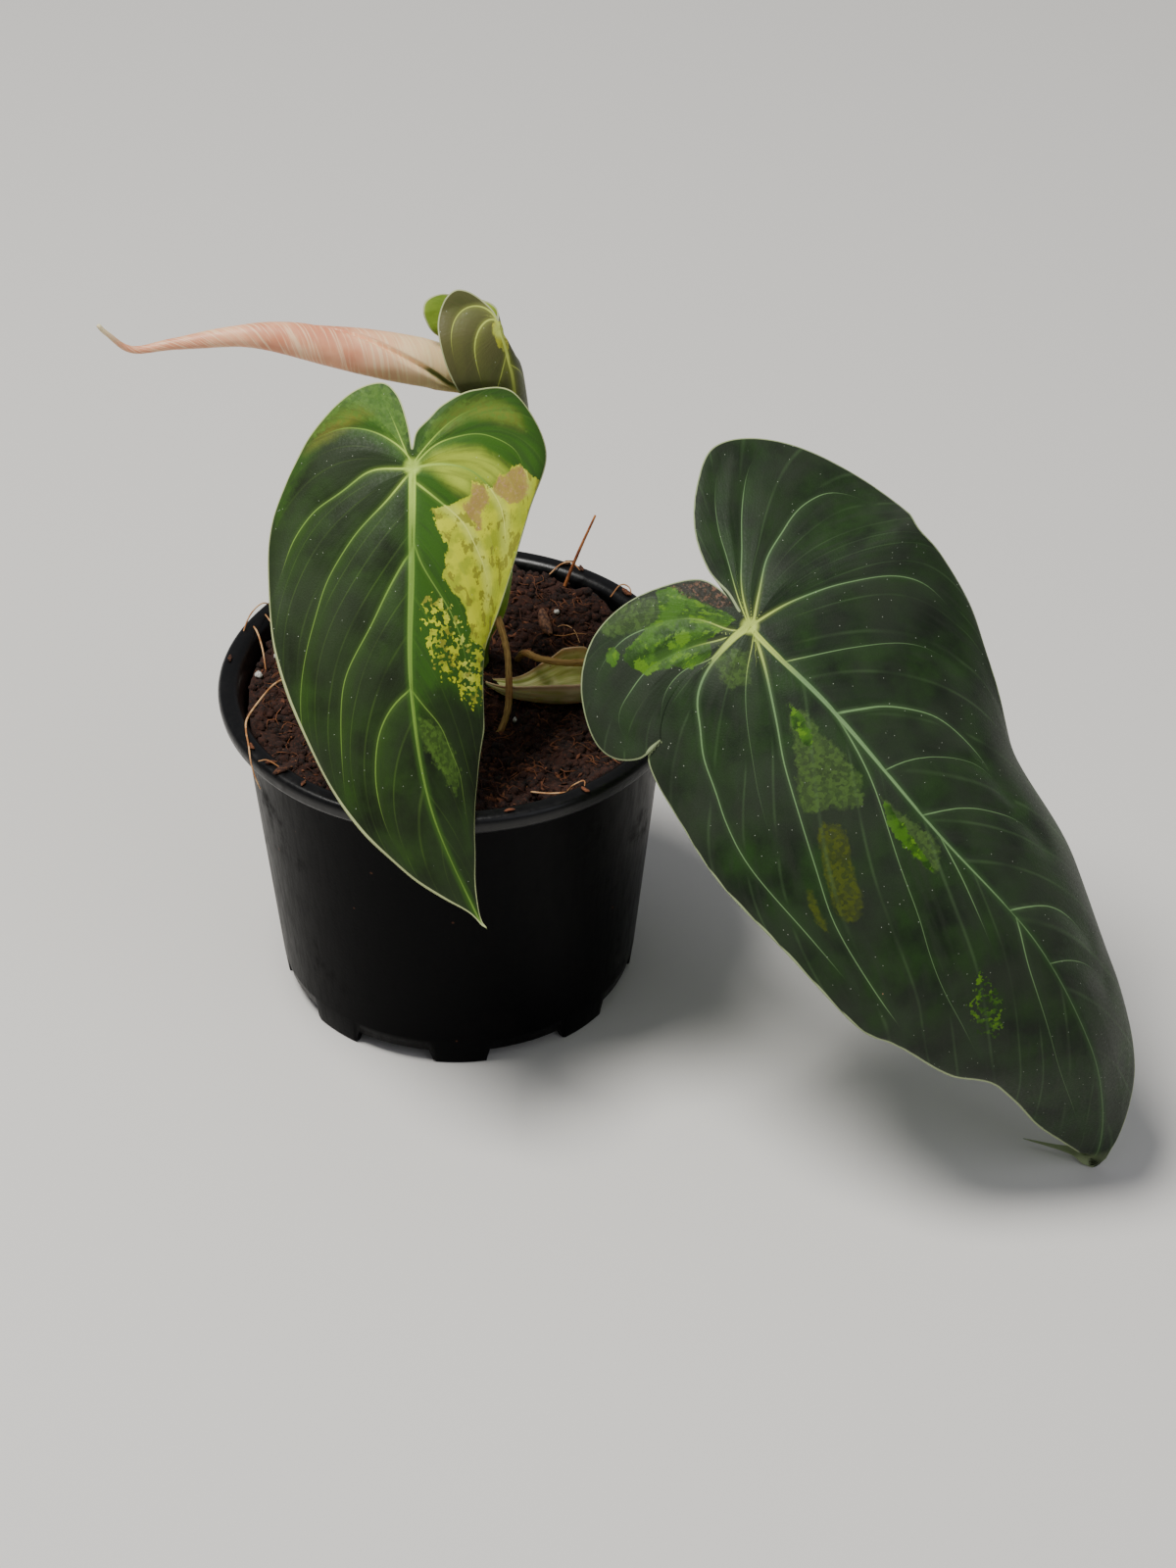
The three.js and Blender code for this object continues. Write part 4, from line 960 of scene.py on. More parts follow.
# Each vein's path on the flat blade, along the midrib and out from it, its width at the start, and how far
# along it is still hidden in a thicker one.
RIGHT_VEINS = {
    -1: [
        ([(0, 0), (-1, 4), (-7, 8), (-11, 14), (-12.5, 21), (-13.5, 26), (-13, 31), (-11, 37), (-8, 41)],
         0.4, 4),
        ([(0, 0), (-0.5, 4), (-1, 7), (-3.5, 13), (-5, 20), (-5.5, 27), (-4, 33), (-2.5, 38.5), (0, 40.6),
          (4, 41)], 0.4, 7),
        ([(0, 0), (0.3, 5), (1, 10), (0.5, 15), (-1, 18), (0, 25.5), (3, 30), (6.5, 34)], 0.28, 10),
        ([(0, 0), (0.6, 5), (1.2, 11), (3, 17), (6, 22), (10, 25), (15, 30), (21, 33), (31, 37), (45, 40),
          (67, 40), (81, 41)], 0.75, 11),
        ([(0, 0), (3, 1), (9, 9), (17, 17), (27, 24), (37, 29), (46.5, 33)], 0.22, 2),
        ([(1, 0), (3, 0.5), (10, 4), (16, 8), (22, 12), (30, 17), (44, 23), (56, 28), (70, 34), (88, 38),
          (103, 39)], 0.75, 0),
        ([(29, 0), (40, 2), (48, 4), (56, 7), (71, 13.5), (79, 17), (89, 22), (100, 25), (117, 26),
          (127, 26)], 0.45, 0),
        ([(68, 0), (79, 3), (87.5, 6), (99.5, 10)], 0.28, 0),
        ([(95, 0), (108, 5), (128, 8), (145, 9), (171, 6)], 0.3, 0),
    ],
    1: [
        ([(0, 0), (-16, 3), (-27, 5), (-37, 9), (-44, 14)], 0.3, 0),
        ([(0, 0.3), (-2, 1), (-10, 3.5), (-20, 8), (-30, 13), (-39, 19), (-43, 24)], 0.45, 0),
        ([(0, 1), (-2, 3), (-8, 8), (-15.5, 13), (-21, 20), (-25, 26), (-26.5, 31), (-27, 36), (-24, 41),
          (-21, 44)], 0.6, 0),
        ([(0, 0), (0, 3), (0, 10.5), (1, 16), (3, 23), (7, 30), (11, 35.5), (16, 40), (21, 43), (29, 45)],
         0.65, 0),
        ([(12, 0), (13, 1.5), (18, 11), (23, 20), (27, 27), (31, 32), (38, 37)], 0.3, 0),
        ([(30, 0), (33, 6), (36, 12), (41, 18), (45, 22), (51.5, 25), (61, 27), (69, 26)], 0.6, 0),
        ([(48, 0), (50, 8), (55, 17), (63, 25), (75, 26)], 0.25, 0),
        ([(62, 0), (67, 10), (73, 17), (81, 23.5), (89, 25)], 0.32, 0),
        ([(93, 0), (96, 5), (100.5, 11), (107, 15), (118, 18)], 0.4, 0),
        ([(110, 0), (114, 6), (121, 12), (130, 16)], 0.25, 0),
    ],
}
FRONT_VEINS = {
    -1: [
        ([(0, 0), (-5, 2), (-13, 5), (-20, 8)], 0.3, 0),
        ([(0, 0), (-3, 1), (-6, 4), (-9, 8.5), (-10.5, 13), (-11, 18), (-9, 23.5), (-8, 27.5)], 0.45, 0),
        ([(0, 0), (0.5, 2), (0, 9), (1, 12), (5, 17), (8, 22), (10, 25), (17, 30), (23, 32), (30, 34)], 0.6,
         0),
        ([(1, 0), (3, 2), (8, 6), (15.2, 13.1), (20, 16.5), (25.5, 19.9), (30, 21.8), (38.5, 24),
          (45, 25.8), (56, 28), (71, 28)], 0.5, 0),
        ([(21, 0), (23.5, 2), (31, 6), (40, 10), (50.5, 16), (57, 17.6), (69, 19), (80, 20)], 0.5, 0),
        ([(54, 0), (55, 1), (58, 5), (64, 9), (71, 11), (77, 12), (86, 12), (92, 11)], 0.4, 0),
    ],
    1: [
        ([(0, 0), (-2, 1), (-7, 5), (-12, 10), (-15, 15.5), (-17, 21)], 0.35, 0),
        ([(0, 0.3), (-2, 2), (-6, 6), (-8, 12), (-9, 17), (-7, 23), (-5, 26.5), (0, 28), (4.5, 29)], 0.4,
         0),
        ([(0, 0), (0, 2), (-1, 6), (-0.5, 12), (1, 16), (5, 20), (9.5, 23), (15.5, 24), (22, 25)], 0.6, 0),
        ([(3, 0), (4, 1), (7, 5), (10, 9), (13, 13), (18, 16), (23, 19), (28, 20.5), (33.5, 21)], 0.55, 0),
        ([(16, 0), (23, 2), (29, 6), (34, 10), (41, 14), (47.5, 16), (55, 17)], 0.45, 0),
        ([(54, 0), (56, 1), (60, 4), (65, 8), (72, 10), (78, 12), (86, 11), (97, 8)], 0.35, 0),
    ],
}
SMALL_VEINS = {
    -1: [([(0, 0), (-3.5, 0.6), (-3.8, 3), (-1.3, 5.8), (1.7, 7.6), (5.2, 8.1), (10.2, 8.1), (15, 7.4)],
          0.5, 0),
         ([(0, 0), (-5.5, 1.2), (-7.7, 4.4), (-7.9, 7.1), (-6.4, 10), (-3.6, 11.8), (-0.3, 12.9),
           (7.3, 13.2)], 0.45, 0),
         ([(6, 0), (12, 3.2), (20, 5.5), (30, 5)], 0.3, 0)],
    1: [([(0, 0), (-5, 5), (-7, 11), (-5, 16)], 0.35, 0),
        ([(1, 0), (3, 6), (8, 12), (14, 14)], 0.4, 0),
        ([(9, 0), (15, 5), (24, 9), (31, 9)], 0.3, 0)],
}

# The outlines of the coloured sectors on the flat blade.
RIGHT_MARKS = {
    "lime": {-1: [
        [(-9.6, 30.9), (-11.3, 28.6), (-12.4, 23.6), (-13.8, 17.1), (-19.6, 15.7), (-17.8, 10.6),
         (-12.1, 7.3),
         (-6.8, 3.2), (-3, 1.6), (-3.2, 5.4), (-3, 10.1), (0.3, 11.2), (0.4, 16.7), (-3.4, 21.8),
         (-4.5, 26.6), (-6.7, 28.9)],
        [(-13.4, 33.4), (-13.2, 31), (-10.7, 30.7), (-9.9, 33.5), (-11.2, 34.4)],
        [(20.9, 7), (21.9, 5.7), (26.8, 6.7), (31.3, 8.3), (33, 10.1), (30.1, 10.7), (25.5, 9.7)],
        [(52.6, 4.9), (57.7, 4.6), (63.2, 5.1), (69, 5.6), (75, 7.2), (70.5, 7.6), (65, 8.2), (61.2, 8.6),
         (56.5, 7)],
    ]},
    "pale": {-1: [
        [(-17.3, 32.2), (-20.8, 31.6), (-21.5, 28.2), (-20.6, 24.3), (-18.5, 18), (-14.9, 14.4),
         (-10.5, 12), (-10.4, 15.3),
         (-12.5, 19.8), (-13.2, 24.6), (-14.1, 28.3), (-15.3, 31)],
        [(0.5, 10.8), (1.5, 7.2), (5, 4.3), (11, 9.4), (9.7, 11.7), (8.9, 14.2), (6.7, 14.1)],
        [(20.5, 6.7), (24.7, 5.1), (31.3, 5.8), (39, 5), (46.3, 5.5), (51, 9.1), (49.2, 13.4), (46.1, 15.7),
         (45, 19.1),
         (43.1, 21.7), (37.8, 19), (33, 15.4), (26.6, 11.3)],
        [(51.3, 5), (59.6, 3.4), (67.2, 1.4), (71, 1.9), (75, 7.2), (65, 8.1), (55.7, 6.5)],
    ]},
    "olive": {-1: [
        [(49, 21.7), (47.8, 19.5), (49.9, 18.8), (50.3, 16.4), (55, 17), (60.8, 20.8), (67.4, 23.5),
         (70.4, 26.9),
         (69.8, 30.1), (66.3, 31.5), (60.6, 28.4), (54.4, 25.1)],
        [(57.2, 32.6), (59.6, 32.2), (66, 34.4), (68.6, 35.3), (67, 36.7), (62.4, 35.4)],
    ]},
    "rust": {-1: [[(-18.7, 12.1), (-17.1, 7), (-14.5, 2.9), (-9.9, 0.5), (-6.5, 0.6), (-7.1, 3.8),
                   (-11.4, 6.9), (-14.5, 9.9)]]},
    "fleck": {-1: [[(98, 15), (103, 13), (113, 14), (120, 17), (124, 21), (118, 24), (110, 24),
                    (101, 19)]]},
}
FRONT_MARKS = {
    "green": {
        -1: [[(-0.6, 1.2), (-5.7, 6), (-9.1, 10.2), (-10.7, 15.6), (-9.4, 21.2), (-5.4, 25.3), (-1, 29),
              (4, 32), (12, 34),
              (9, 38), (-10, 30), (-24, 22), (-24, 2), (-12, 0), (-3, 0)]],
        1: [[(-25, 0), (-25, 45), (50, 45), (62, 20), (54, 8), (60, 0)]],
    },
    "amber": {
        -1: [[(-6.2, 27), (-10.8, 24), (-14, 18.3), (-15.6, 12.8), (-13.7, 10.1), (-11.5, 15.6),
              (-9.2, 20.1)]],
        1: [[(-9.8, 5.7), (-14.8, 11.1), (-17, 16.5), (-16.5, 21.9), (-14.1, 26.2), (-10.9, 27.3),
             (-11.7, 24.5),
             (-13, 19.1), (-13.3, 13.7), (-9.9, 8.9)]],
    },
    "glow": {1: [
        [(-0.3, 3), (-3.3, 5.6), (-4.5, 10.9), (-4.3, 16.2), (-1.9, 20.6), (0.5, 23.9), (3.8, 19.6),
         (3.1, 14.6),
         (6.3, 14.2), (5.4, 10.9), (2.4, 7.7), (0.4, 5.1)],
    ]},
    "pale": {
        -1: [[(-2, 1.2), (-7, 5), (-11.5, 9), (-13, 15), (-11, 22), (-7.6, 26), (-10.1, 26.9), (-17, 21),
              (-20.7, 15.4),
              (-21.7, 7.8), (-17, 3.1), (-12, 1)]],
        1: [[(-3.4, 1.1), (-11.3, 4.8), (-15.9, 10.9), (-18.1, 19.4), (-14.8, 25.6), (-10.1, 28.8),
             (-11.7, 24.3),
             (-13.2, 16.9), (-10.9, 10), (-5.9, 4.7)],
            [(61, 1.2), (65, 6.9), (72.3, 11.3), (78.8, 11.7), (83.6, 8.5), (77.2, 5.6), (71.2, 2.8),
             (65.8, 1.1)]],
    },
    "lime": {1: [
        [(11.1, 4.1), (9.6, 6.2), (9.1, 9.9), (7.9, 12.1), (6.2, 14.5), (3.1, 14.6), (2.8, 16.3),
         (3.8, 19.6),
         (1.1, 21.7), (0.5, 23.9), (-1.1, 25), (-2.1, 26.7), (0.6, 30), (5, 45), (16.7, 45), (28.3, 45),
         (41.7, 40),
         (45, 22), (41.9, 16.6), (35.1, 15), (31.1, 11.8), (26.6, 7.5), (20.6, 9.1), (14.2, 5.9),
         (10.1, 4.5)],
    ]},
    "rust": {1: [
        [(3.4, 14.7), (3.3, 16.6), (4.9, 18.8), (7.9, 19.2), (10.1, 17.6), (14.3, 17.6), (15.5, 16.3),
         (12.4, 15.5),
         (11, 13.3), (9, 12.6), (6.7, 14.5)],
        [(4.3, 19.6), (1.4, 21.7), (0.4, 24.2), (-1.4, 25.6), (-1.6, 27.2), (0.6, 28.7), (4, 29.2),
         (7.2, 27.7),
         (8, 24.8), (6.7, 22.5), (5.8, 20.8)],
    ]},
    "fleck": {1: [
        [(31, 2.4), (29.6, 9), (35.3, 13.2), (41.9, 16.6), (43.6, 24), (51.9, 24), (61.7, 22), (63.2, 17),
         (55.2, 12.8), (53, 7.9), (47.5, 4.1), (42.5, 2.2), (36.1, 1.3)],
    ]},
}
SMALL_MARKS = {"lime": {-1: [[(-2.5, 0), (-3, 1), (-1, 2.2), (3, 1.8), (6, 0.6), (6, 0)]], 1: [[(-2, 0),
                                                                                                (-2, 2),
                                                                                                (4, 2),
                                                                                                (6, 0)]]}}

# Where the main veins of the big blade's left lobe run together: its half, its path, and its half widths.
RIGHT_TRUNK = (-1, [(0, 0), (0, 4), (0.6, 8), (1.2, 12)], (1, 0.45))

# The kinds of sector, and what stands for how far outside one a place is where a blade has none of a kind.
MARKS = ("green", "amber", "glow", "pale", "olive", "lime", "fleck", "rust")
OUTSIDE = -20

# How finely the midrib and the bend out from it are stepped, how far from the midrib the folded blade rounds
# off, and how far the midrib's direction is evened out beside the junction.
STATION_STEPS = 24
BEND_STEPS = 12
MIDRIB_ROUND = 4
TANGENT_SPREAD = 12
TANGENT_REACH = 30

# A vein's path is evened out but for its ends. It narrows as it runs, to a least share, and fades at its tip.
VEIN_STEPS = 120
VEIN_SPREAD = 2.4
VEIN_END = 1.5
VEIN_FADE = 14
VEIN_TAPER = 20
VEIN_LEAST = 0.24

# How finely the trunk and the edge are stepped and how far off they are measured, half the blade's thickness
# at its hem and inside it, and how deep, wide or proud the veins, the midrib and the puffed tissue are.
TRUNK_STEPS = 60
TRUNK_LIMIT = 9
HEM_STEPS = 500
HEM_LIMIT = 99
HEM_HALF = 0.1
SKIN_HALF = 0.24
PRESS_DEPTH = 0.3
PRESS_BELOW = 0.25
GROOVE_DEPTH = 0.35
PUFF_WIDTH = 4.2
RIDGE_WIDTH = 1.5
LOBE_FADE = 3

# The streaks' own coordinate: how far it runs from the notch to the tip, and how far apart the halves are.
COURSE_RUN = 60
COURSE_SHIFT = 100


def averaged(values, marks, spread):
    """Values at marks along a line, each evened out over its neighbours within that spread."""
    share = np.exp(-((marks[:, None] - marks) / spread) ** 2 / 2) * np.gradient(marks)
    return share @ values / share.sum(1, keepdims=True)


class Blade:
    """The middle surface of a blade: side is -1 on the left half and 1 on the right."""

    def __init__(self, stations, ribs, wave):
        stations = np.array(stations, float)
        span = np.repeat(np.arange(1, len(stations)), STATION_STEPS)
        t = np.tile(np.arange(STATION_STEPS) / STATION_STEPS, len(stations) - 1)
        self.samples = np.vstack([spline(padded(stations), span, t), stations[-1]])
        spots = self.samples[:, :3]
        self.along = np.r_[0, np.cumsum(np.linalg.norm(np.diff(spots, axis=0), axis=1))]
        self.along -= self.along[STATION_STEPS]
        tangents = unit(np.vstack([spots[1] - spots[0], spots[2:] - spots[:-2], spots[-1] - spots[-2]]))
        even = averaged(tangents, self.along, TANGENT_SPREAD)
        self.tangents = tangents + (even - tangents) * np.exp(-(self.along / TANGENT_REACH) ** 2)[:, None]
        self.ribs = {side: np.array(rows, float) for side, rows in ribs.items()}
        self.wave = wave

    def at_place(self, table, place):
        return np.stack([np.interp(place, self.along, column) for column in table.T], -1)

    def point(self, side, u, w):
        """Where the flat point u along and w out from the midrib lies, and the way the blade faces there."""
        place = np.clip(u, self.along[0], self.along[-1])
        row = self.at_place(self.samples, place)
        tangent = unit(self.at_place(self.tangents, place))
        at = row[..., :3] + tangent * (u - place)[..., None]
        up = row[..., 3:6]
        up = unit(up - tangent * (up * tangent).sum(-1, keepdims=True))
        right = np.cross(up, tangent)
        turns = np.radians(row[..., 6:])[..., (0 if side < 0 else 1)::2]
        twist = turns[..., 2] if turns.shape[-1] > 2 else 0 * u

        def angle(s):
            return turns[..., 0] + turns[..., 1] * s / 10 + twist * (1 - np.exp(-np.abs(s) / MIDRIB_ROUND))

        for n in range(BEND_STEPS):
            mid = angle(w * (n + 0.5) / BEND_STEPS)
            out = right * (side * w * np.cos(mid) / BEND_STEPS)[..., None]
            at = at + out - up * (w * np.sin(mid) / BEND_STEPS)[..., None]
        turned = up * np.cos(angle(w))[..., None] + right * (side * np.sin(angle(w)))[..., None]
        return at, np.where((np.abs(w) < 1e-6)[..., None], up, turned)

    def flat(self, side, a, b):
        """Flat coordinates a share a of the way out along the row that is a share b of the way to the tip."""
        ribs = self.ribs[side]
        place = b * (len(ribs) - 1)
        i = np.minimum(np.floor(place).astype(int), len(ribs) - 2)
        row = spline(padded(ribs), i + 1, place - i)
        origin = np.interp(place, np.arange(len(ribs)), ribs[:, 0])
        u = (1 - a) ** 2 * origin + 2 * a * (1 - a) * row[..., 1] + a * a * row[..., 3]
        return u, 2 * a * (1 - a) * row[..., 2] + a * a * row[..., 4]

    def flutter(self, a, b):
        """The slight wave of the edge."""
        height, count = self.wave
        return height * a ** 3 * np.sin(np.pi * b) * np.sin(count * 2 * np.pi * b)


def drawn_vein(path):
    """A vein's path, evened out but for its ends: places, directions and how far along each place is."""
    at, _, length = along(path, VEIN_STEPS)
    marks = np.linspace(0, length, VEIN_STEPS + 1)
    even = averaged(at, marks, VEIN_SPREAD)
    at = even + (at - even) * np.exp(-np.minimum(marks, length - marks) / VEIN_END)[:, None]
    return at, unit(np.gradient(at, axis=0)), marks


def vein_map(u, w, veins):
    """For flat points: the distance to the nearest vein with a sign for its side, the plain distance, and how
    wide that vein is there."""
    spot = np.stack([u, w], -1).reshape(-1, 2)
    reach = np.full(len(spot), 1e9)
    signed, width = np.zeros(len(spot)), np.zeros(len(spot))
    for path, start_width, hidden in veins:
        at, ahead, marks = drawn_vein(path)
        away = spot[:, None] - at[None]
        near = (away ** 2).sum(-1).argmin(1)
        pick = away[np.arange(len(spot)), near]
        cross = ahead[near, 1] * pick[:, 0] - ahead[near, 0] * pick[:, 1]
        gap = np.where((near > 0) & (near < VEIN_STEPS), np.abs(cross), np.hypot(*pick.T))
        mark = marks[near]
        fade = np.clip((marks[-1] - mark) / VEIN_FADE, 0, 1) * np.clip((mark - hidden) / VEIN_END + 1, 0, 1)
        wide = start_width * (VEIN_LEAST + (1 - VEIN_LEAST) * np.exp(-mark / VEIN_TAPER)) * fade
        closer = gap - 0.5 * (wide > 0) < reach - 0.5 * (width > 0)
        signed = np.where(closer, np.where(cross > 0, gap, -gap), signed)
        width = np.where(closer, wide, width)
        reach = np.where(closer, gap, reach)
    return signed.reshape(u.shape), reach.reshape(u.shape), width.reshape(u.shape)


def inside(u, w, outline):
    """How far flat points lie inside an outline: negative outside it."""
    ring = np.array(outline, float)
    best = np.full(u.shape, 1e9)
    odd = np.zeros(u.shape, bool)
    for (au, aw), (bu, bw) in zip(ring, np.roll(ring, -1, 0)):
        du, dw = bu - au, bw - aw
        t = np.clip(((u - au) * du + (w - aw) * dw) / (du * du + dw * dw), 0, 1)
        best = np.minimum(best, np.hypot(u - au - t * du, w - aw - t * dw))
        odd ^= ((aw > w) != (bw > w)) & (u < du * (w - aw) / (dw if dw else 1e-9) + au)
    return np.where(odd, best, -best)


def sector(u, w, outlines):
    """How far flat points lie inside the nearest of some outlines, if there are any."""
    if not outlines:
        return np.full(u.shape, float(OUTSIDE))
    return np.max([inside(u, w, ring) for ring in outlines], 0)


def gap_to(u, w, line, halves, limit):
    """How far flat points lie from a line with a half width at each of its places, up to a limit."""
    gap = np.full(u.shape, float(limit))
    for (line_u, line_w), half in zip(line, halves):
        gap = np.minimum(gap, np.hypot(u - line_u, w - line_w) - half)
    return gap


def blade_mesh(name, blade, finish, veins, marks, rows, columns, midrib, quilt, trunk=None):
    """One blade as a closed skin, with a ridge of a depth midrib below and tissue puffed up by quilt."""
    nets = {key: [] for key in SKIN_NETS}
    fields = {key: [] for key in ("vein", "vein_gap", "vein_width", "course", "edge", "trunk", *MARKS)}
    a = np.linspace(0, 1, columns + 1) ** 1.3
    b = np.linspace(0, 1, rows + 1)[:, None]
    a, b = np.broadcast_arrays(a, b)
    for side in (-1, 1):
        u, w = blade.flat(side, a, b)
        at, facing = blade.point(side, u, w)
        vein, gap, width = vein_map(u, w, veins[side])
        hem = np.stack(blade.flat(side, np.ones(HEM_STEPS), np.linspace(0, 1, HEM_STEPS)), 1)
        edge = np.where(a > 0.999, 0, gap_to(u, w, hem, np.zeros(HEM_STEPS), HEM_LIMIT))
        trunk_gap = np.full(u.shape, float(TRUNK_LIMIT))
        if trunk and side == trunk[0]:
            halves = np.linspace(*trunk[2], TRUNK_STEPS + 1)
            trunk_gap = gap_to(u, w, along(trunk[1], TRUNK_STEPS)[0], halves, TRUNK_LIMIT)
        slim = np.clip(1 - u / blade.along[-1], 0, 1)
        ease = np.clip(edge / 5, 0, 1)
        lobe = np.where(u < 0, np.exp(u / LOBE_FADE), 1)
        press = np.exp(-(gap / (0.7 + width)) ** 2) * np.clip(width * 3, 0, 1)
        puff = (1 - np.exp(-(gap / PUFF_WIDTH) ** 2)) * np.clip(np.abs(w) / 7, 0, 1)
        groove = np.exp(-(w / (0.7 + 0.8 * slim)) ** 2) * slim ** 0.5 * lobe
        ridge = midrib * slim * np.exp(-(w / RIDGE_WIDTH) ** 2) * lobe
        relief = (quilt * (puff - 0.4) - PRESS_DEPTH * press) * ease - GROOVE_DEPTH * groove
        half = HEM_HALF + (SKIN_HALF - HEM_HALF) * np.clip(edge / 1.5, 0, 1)
        skin = {
            "middle": at + facing * blade.flutter(a, b)[..., None], "facing": facing,
            "above": (half + relief)[..., None],
            "below": (half - relief + PRESS_BELOW * press * ease + ridge)[..., None],
            "flat": np.stack([u, side * w], -1),
        }
        found = {
            "vein": vein, "vein_gap": gap, "vein_width": width, "edge": edge, "trunk": trunk_gap,
            "course": b * COURSE_RUN + COURSE_SHIFT * (side > 0),
        }
        for key in nets:
            nets[key].append(skin[key])
        for key in fields:
            fields[key].append(found[key] if key in found else sector(u, w, marks.get(key, {}).get(side)))
    return leaf_sheet(name, finish, nets, fields, [False, True])


class BladeFinish(Finish):
    """The skin of a blade: dark tissue that turns greener towards the veins, with painted light and shade
    beside them and a painted grey sheen, pale veins, coloured sectors with ragged edges, a pale hem and a
    paler underside. tints holds its paint-card colours."""

    def __init__(self, name, tints, rib_half, gloss, sheen, threads, dry=400):
        super().__init__(name, Specular_IOR_Level=gloss, Sheen_Weight=sheen, Sheen_Roughness=0.5)
        self.wear("Sheen Tint", tone(0xcdd8c4))
        self.tint = {key: tone(code) for key, code in tints.items()}
        self.spot = self.flat()
        self.u, self.w = (self.put("SeparateXYZ", {0: self.spot}, axis) for axis in (0, 1))
        self.out = self.put("VectorMath", {0: self.spot}, "Value", operation="LENGTH")
        self.reach, self.width = self.field("vein_gap"), self.field("vein_width")
        self.edge, self.course = self.field("edge"), self.field("course")
        self.streak = self.noise(1, self.fanned(1.3, 0.06), 3, 0.6)
        self.cloud = self.noise(11, self.spot, 4, 0.55)
        self.cells = self.put("TexVoronoi", {"Vector": self.spot, "Scale": 1 / 0.7}, "Position")
        self.ragged = self.times(self.minus(self.noise(2.6, self.cells, 4, 0.7), 0.5), 7)
        self.tissue()
        self.variegation()
        self.veins()
        self.threads(threads)
        self.midrib(rib_half)
        self.weather()
        self.underside()
        self.hem(dry)

    def fanned(self, across, outwards):
        """Coordinates for streaks that fan out from the junction."""
        return self.put("CombineXYZ", {0: self.times(self.course, across), 1: self.times(self.out, outwards)})

    def lay(self, key, share):
        self.paint(self.tint[key], share)

    def torn(self, field, raggedness):
        """How far inside a kind of sector a place is, with a ragged edge."""
        return self.plus(self.field(field), self.times(self.ragged, raggedness))

    def sector(self, key, raggedness, low, high, strength):
        """Lays a tint over its sectors, if the blade has that tint."""
        if key in self.tint:
            self.lay(key, self.step(self.torn(key, raggedness), low, high, 0, strength))

    def tissue(self):
        """Dark green, clouded, with a painted grey sheen in broad soft patches and along the edge, fine grey
        streaks, soft sectors of green, amber and yellow green, and painted light and shade beside the veins,
        lighter and greener on one side of each vein than on the other.
        """
        # A painted sheen: broad soft patches of grey laid over the dark green, where the velvet would catch
        # the light.
        painted_sheen_haze = self.noise(26, self.flat(shift=(40, 9, 0)), 2)
        self.paint(self.tint["dark"])
        self.lay("mid", self.step(self.cloud, 0.28, 0.74))
        self.lay("grey", self.step(painted_sheen_haze, 0.36, 0.68, 0, 0.7))
        self.sector("green", 0.7, -3, 3, 0.85)
        self.sector("amber", 0.3, -2.5, 3.5, 0.8)
        self.sector("glow", 0.2, -2.5, 2, 0.9)
        # Painted light and shade: within a few millimetres of a vein the tissue takes on its green, more on
        # one side than on the other, as if that side were lit.
        painted_lit_side = self.step(self.field("vein"), -0.5, 0.5, 0.1, 0.3)
        beside = self.times(self.step(self.reach, 4.5, 0.4), painted_lit_side)
        self.paint(self.mix(0.5, self.colour, self.tint["vein_side"]), beside)
        self.lay("grey", self.step(self.streak, 0.44, 0.66, 0, 0.35))
        # A painted sheen: a grey band along the edge of the blade.
        self.lay("grey", self.step(self.edge, 4, 0, 0, 0.35))

    def variegation(self):
        """Sectors that lack some or all of the dark green, with flecks of it, and rusty patches."""
        plain = self.colour
        grain = self.step(self.noise(1.6, self.cells, 4, 0.7), 0.42, 0.56)
        self.sector("pale", 0.8, -0.5, 0.7, 0.8)
        self.sector("olive", 0.4, -0.4, 0.5, 0.9)
        self.paint(plain, self.times(grain, 0.6))
        deep, spots = self.noise(5, self.spot, 3), self.noise(1, self.fanned(0.5, 0.2), 4, 0.65)
        bright = self.mix(self.step(deep, 0.42, 0.6), self.tint["lime"], self.tint["lime_deep"])
        bright = self.mix(self.step(self.reach, 2.5, 0.2, 0, 0.45), bright, self.tint["lime_pale"])
        bright = self.mix(self.step(self.edge, 6, 1, 0, 0.6), bright, self.tint["lime_deep"])
        bright = self.mix(self.step(spots, 0.53, 0.57, 0, 0.85), bright, self.tint["spot"])
        self.in_lime = self.step(self.torn("lime", 0.5), -0.1, 0.25)
        self.paint(bright, self.in_lime)
        likely = self.step(self.plus(self.field("fleck"), self.ragged), -2.5, 2.5, 0, 0.3)
        self.paint(bright, self.step(self.plus(self.noise(1.7, self.cells, 4, 0.75), likely), 0.8, 0.82))
        if "rust" in self.tint:
            tan = self.step(self.noise(1.1, self.spot, 4, 0.7), 0.5, 0.62)
            tan = self.mix(tan, self.tint["rust"], self.tint["rust_pale"])
            self.paint(tan, self.step(self.torn("rust", 0.5), -0.2, 0.4, 0, 0.85))

    def veins(self):
        """Pale lines with a lighter band on both sides, palest where they meet at the junction."""
        line = self.minus(self.math("ABSOLUTE", self.field("vein")), self.times(self.width, 0.5))
        self.line = self.times(self.step(line, 0.1, -0.06), self.step(self.reach, 1.9, 1.1))
        own = self.mix(self.in_lime, self.tint["vein"], self.tint["lime_pale"])
        self.vein_tint = self.mix(self.step(self.out, 18, 3), own, self.tint["star"])
        beside = self.times(self.step(self.reach, 1.3, 0.1, 0, 0.3), self.step(self.width, 0.05, 0.5))
        self.paint(self.mix(0.5, self.vein_tint, self.tint["vein_side"]), beside)
        self.paint(self.vein_tint, self.times(self.line, self.step(self.width, 0, 0.2, 0, 0.85)))

